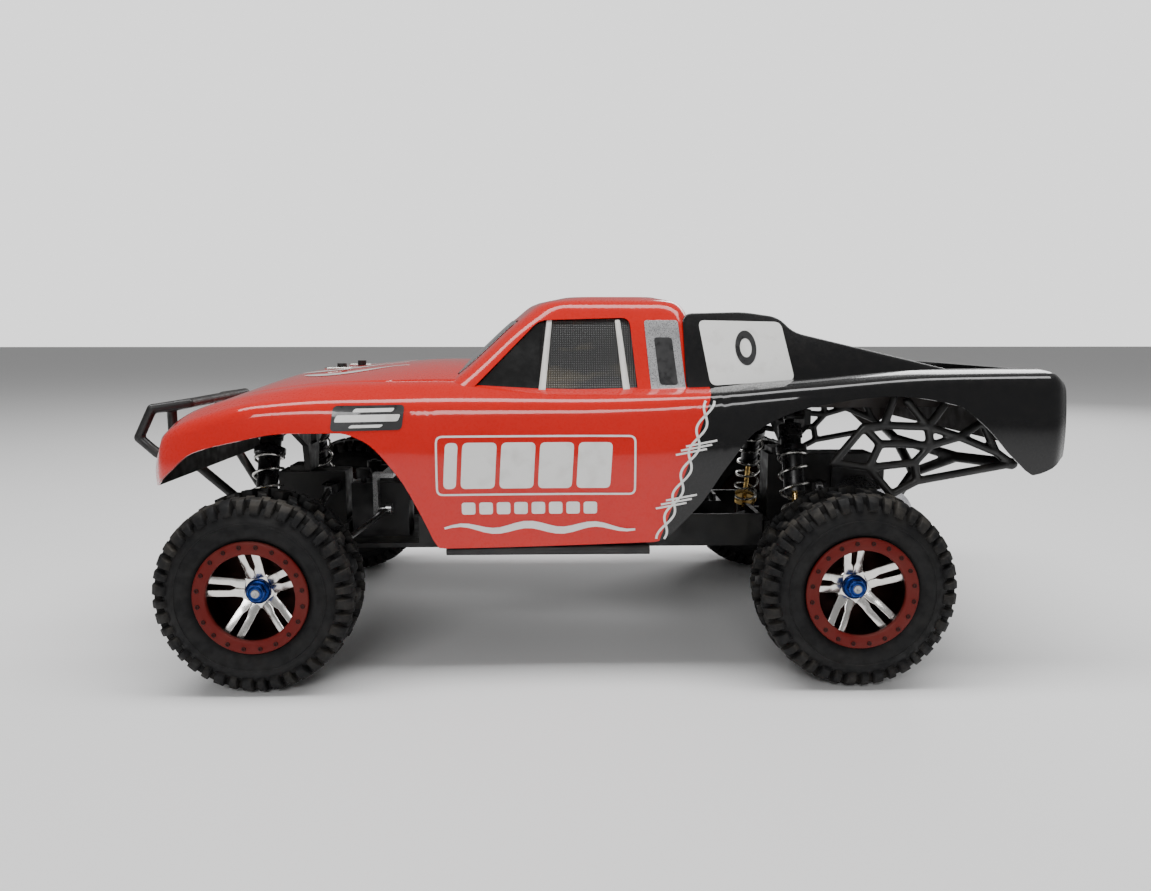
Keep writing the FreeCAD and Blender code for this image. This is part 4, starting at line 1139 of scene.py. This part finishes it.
def build_tyre(end, side_name, rubber, tread_dust_and_highlight):
    centre = wheel_centre(end, side_name)
    name = f"{end}_{side_name}"
    body = f"wheel_{name}"
    carcass = mesh_piece(f"tyre_carcass_{name}", *tyre_carcass(centre), rubber, body, "tyre_rubber")
    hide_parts(f"tyre_{name}")
    ribs = []
    for y, r in ((20.9, 35.2), (21.75, 40.4)):
        for side in SIDES.values():
            ring = [round_axle(centre, side * (y - RIB_RADIUS), r, TURN * k / 120) for k in range(120)]
            ribs.append(tube(ring, RIB_RADIUS, sides=6, closed=True))
    mesh_piece(f"tyre_ribs_{name}", *joined(*ribs), rubber, body, "tyre_rubber")
    blocks = mesh_piece(f"tyre_tread_{name}", *tread(centre), tread_dust_and_highlight, body, "tyre_rubber")
    bevelled(blocks, 0.45, segments=2, angle_deg=20)


RING_OUTER, RING_INNER = 31.2, 23.9
BOLT_COUNT, BOLT_CIRCLE = 20, 28.2


def spoke(centre, angle, out):
    """One twin spoke: two legs that leave the hub together and part towards the ring."""
    legs = []
    for leg in (-1, 1):
        rows = [(7.0, -0.1, 5.4, 7.0), (12.0, 0.2, 5.3, 8.4), (14.5, 1.3, 5.6, 9.4), (25.2, 1.7, 6.1, 14.4)]
        points = []
        for radius, near, far, y in rows:
            for across, depth in ((near, 0.3), (far, -0.3), (far, -3.4), (near, -3.4)):
                x, z = radius, leg * across
                points.append(Vector(centre) + Vector((
                    x * math.cos(angle) - z * math.sin(angle), out * (y + depth),
                    x * math.sin(angle) + z * math.cos(angle))))
        faces = [(0, 1, 2, 3), (12, 13, 14, 15)]
        for k in range(3):
            faces += [(4 * k + c, 4 * k + (c + 1) % 4, 4 * k + 4 + (c + 1) % 4, 4 * k + 4 + c)
                      for c in range(4)]
        legs.append((points, faces))
    return joined(*legs)


def build_rim(end, side_name, chrome, barrel_painted_shade, ring_red, bolt_dark):
    """Chromed twin spokes and hub, the barrel and a disc behind the spokes in dark metal that is painted
    shade, the red clamping ring with its screws.
    """
    name = f"{end}_{side_name}"
    body = f"wheel_{name}"
    out = SIDES[side_name]
    centre = wheel_centre(end, side_name)
    barrel = [(19.6, 24.0), (19.6, 30.6), (14, 28.9), (-15, 28.9), (-18.6, 31), (-19.6, 31), (-19.6, 27.6),
              (-14, 26.6), (12, 26.4), (17.4, 24.0)]
    barrel = turned(barrel, out, centre)
    hub = turned([(6.9, 4), (6.9, 9.8), (5.6, 11.2), (-2, 11.2), (-6, 7), (-6, 3.5)], out, centre)
    # A dark disc behind the spokes: painted shade where the gaps between the spokes are.
    painted_shade_disc = turned([(-3, 6), (-2, 26.9), (-3.5, 26.9), (-4.5, 6)], out, centre)
    piece = mesh_piece(f"rim_barrel_{name}", *joined(barrel, painted_shade_disc), barrel_painted_shade, body, "rim_chrome")
    bevelled(piece, 0.35)
    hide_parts(f"rim_{name}")
    spokes = joined(hub, *(spoke(centre, TURN * (k + 0.15) / 5, out) for k in range(5)))
    bevelled(mesh_piece(f"rim_spokes_{name}", *spokes, chrome, body, "rim_chrome"), 0.55, segments=3)
    ring = [(21.0, 24.6), (20.6, RING_INNER), (18.2, RING_INNER), (18.2, 30.4), (19.8, RING_OUTER),
            (20.8, 30.7), (21.2, 29.6), (21.2, 26.2)]
    ring = turned(ring, out, centre)
    bevelled(mesh_piece(f"clamp_ring_{name}", *ring, ring_red, body, "ring_red"), 0.3)
    head = [(20.9, 0.55), (21.15, 0.55), (21.15, 0.45), (21.85, 0.45), (21.85, 1.05), (21.45, 1.3),
            (20.9, 1.3)]
    bolts = []
    for k in range(BOLT_COUNT):
        place = round_axle(centre, 0, BOLT_CIRCLE, TURN * (k + 0.5) / BOLT_COUNT)
        bolts.append(turned(head, out, place, segments=12))
    mesh_piece(f"ring_screws_{name}", *joined(*bolts), bolt_dark, body, "ring_red")


def build_nut(end, side_name, blue, steel):
    """The flanged wheel nut and the end of its axle."""
    name = f"{end}_{side_name}"
    body = f"wheel_{name}" if end == "rear" else f"steering_knuckle_{side_name}"
    out = SIDES[side_name]
    centre = wheel_centre(end, side_name)
    flange = turned([(7.3, 2.2), (7.3, 6.7), (8.3, 6.9), (9.2, 5.6), (9.2, 2.2)], out, centre, 48)
    collar = turned([(11.4, 2.4), (11.4, 4.3), (12.2, 4.0), (12.5, 3.2), (12.4, 2.4)], out, centre, 48)
    hexagon = [(5.3 * math.cos(k * math.pi / 3), 5.3 * math.sin(k * math.pi / 3)) for k in range(6)]
    prism = slab(hexagon, lambda u, v, w: Vector(centre) + Vector((u, out * (8.6 + w), v)), 3.3)
    bevelled(mesh_piece(f"wheel_nut_{name}", *joined(flange, collar, prism), blue, body, "nut_blue"), 0.4)
    stub = turned([(6, 0.01), (6, 2.5), (12.6, 2.5), (13, 2.1), (13, 1.0), (12.4, 0.01)], out, centre, 32)
    mesh_piece(f"axle_end_{name}", *stub, steel, body, "link_steel")


def build_wheels():
    rubber = tyre_material("tyre_rubber", 0.12)
    # The tread's heavy dust, thickest on the lug tops that face up, is partly real dust and partly a painted
    # highlight.
    tread_dust_and_highlight = tyre_material("tread_rubber", 0.5)
    chrome = metal("satin_chrome", (0.83, 0.81, 0.78), 0.18, edge_mm=0.05)
    # The barrel's dark metal is painted shade inside the chromed wheel.
    barrel_painted_shade = metal("barrel_painted_shade", (0.035, 0.016, 0.014), 0.5, edge_mm=0.05)
    ring_red = moulded_plastic("ring_red", (0.12, 0.006, 0.004), dust=0.12, edge_mm=0.1, specular=0.2)
    bolt_dark = moulded_plastic("ring_screw", (0.03, 0.003, 0.002), dust=0.05, edge_mm=0.1, specular=0.2)
    blue = metal("anodised_blue", (0.01, 0.028, 0.15), 0.28, edge_mm=0.1)
    steel = metal("axle_steel", (0.45, 0.45, 0.45), 0.3, edge_mm=0.1)
    for end, side_name in CORNERS:
        build_tyre(end, side_name, rubber, tread_dust_and_highlight)
        build_rim(end, side_name, chrome, barrel_painted_shade, ring_red, bolt_dark)
        build_nut(end, side_name, blue, steel)


# ---------------------------------------------------------------- springs

SPRING_RADIUS, WIRE_RADIUS, SPRING_TURNS = 8.6, 0.85, 6.6
# The turns that lie closed at each end of a spring, and the pitch they lie at.
CLOSED_TURNS, CLOSED_PITCH = 0.9, 2.0
SHOCK_EYE, SHOCK_FOOT = (46, 142), (80.17, 58.28)
SPRING_START, SPRING_END = 24.4, 80.5


def build_springs():
    """Coil springs with closed ends, laid along each shock between its body and its shaft."""
    steel = metal("coil_steel", (0.66, 0.65, 0.62), 0.22, edge_mm=0.05)
    steps = 40
    all_open = SPRING_TURNS - 2 * CLOSED_TURNS
    open_pitch = (SPRING_END - SPRING_START - 2 * CLOSED_TURNS * CLOSED_PITCH) / all_open
    for end, side_name in CORNERS:
        side = SIDES[side_name]
        name = f"{end}_{side_name}"
        low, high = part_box(f"spring_{name}")
        x = (low.x + high.x) / 2 / MM
        eye, foot = (Vector((x, side * y, z)) for y, z in (SHOCK_EYE, SHOCK_FOOT))
        axis = (foot - eye).normalized()
        forward = Vector((1, 0, 0))
        across = axis.cross(forward)
        path = []
        total = int(SPRING_TURNS * steps)
        for k in range(total + 1):
            turn = k / steps
            open_turns = min(max(turn - CLOSED_TURNS, 0), all_open)
            along = SPRING_START + (turn - open_turns) * CLOSED_PITCH + open_turns * open_pitch
            outward_here = math.cos(TURN * turn) * forward + math.sin(TURN * turn) * across
            path.append(eye + axis * along + SPRING_RADIUS * outward_here)
        piece = mesh_piece(f"coil_{name}", *tube(path, WIRE_RADIUS, sides=8), steel, None)
        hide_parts(f"spring_{name}")
        start, stop = (eye + axis * SPRING_START) * MM, (eye + axis * SPRING_END) * MM
        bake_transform(piece)
        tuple(start)
        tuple(stop)


# ---------------------------------------------------------------- bumpers

def moulded_from(node, name, grow, cell=0.65, passes=10):
    """The node's bars as one moulding: swollen a little, then melted together with eased corners."""
    piece = bpy.data.objects.new(name, frame["nodes"][node].data.copy())
    bpy.context.scene.collection.objects.link(piece)
    swell = piece.modifiers.new("swell", "DISPLACE")
    swell.strength = grow * MM
    swell.mid_level = 0
    merge = piece.modifiers.new("merge", "REMESH")
    merge.mode = "VOXEL"
    merge.voxel_size = cell * MM
    ease = piece.modifiers.new("ease", "SMOOTH")
    ease.factor = 0.5
    ease.iterations = passes
    apply_modifiers(piece)
    shade(piece.data, 60)
    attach(piece, "chassis")
    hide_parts(node)
    return piece


def build_bumpers():
    """The front hoop and the rear lattice, in one dull black moulding each."""
    plastic = moulded_plastic("bumper_black", (0.008, 0.008, 0.0085), 0.42, dust=0.12, edge_mm=0.05)
    for node, name in (("front_bumper", "bumper_hoop"), ("rear_bumper", "bumper_lattice")):
        piece = moulded_from(node, name, grow=0.45)
        piece.data.materials.clear()
        piece.data.materials.append(plastic)


# ---------------------------------------------------------------- carried-over parts

def finish_cad_nodes():
    """Gives each CAD node that stays the material of its slot."""
    finishes = carried_over_materials()
    slots = {part["node"]: part["material_slot"] for part in frame["record"]["subparts"]}
    for node, piece in frame["nodes"].items():
        material = finishes.get(slots[node], finishes["chassis_plastic"])
        piece.data.materials.clear()
        piece.data.materials.append(material)


plain_cutter = new_material("cutter", (0.5, 0.5, 0.5), roughness=0.5)
place_camera()
lay_floor()
light_world()
light_scene()
finish_cad_nodes()
build_shell()
build_windows()
build_decals()
build_wheels()
build_springs()
build_bumpers()
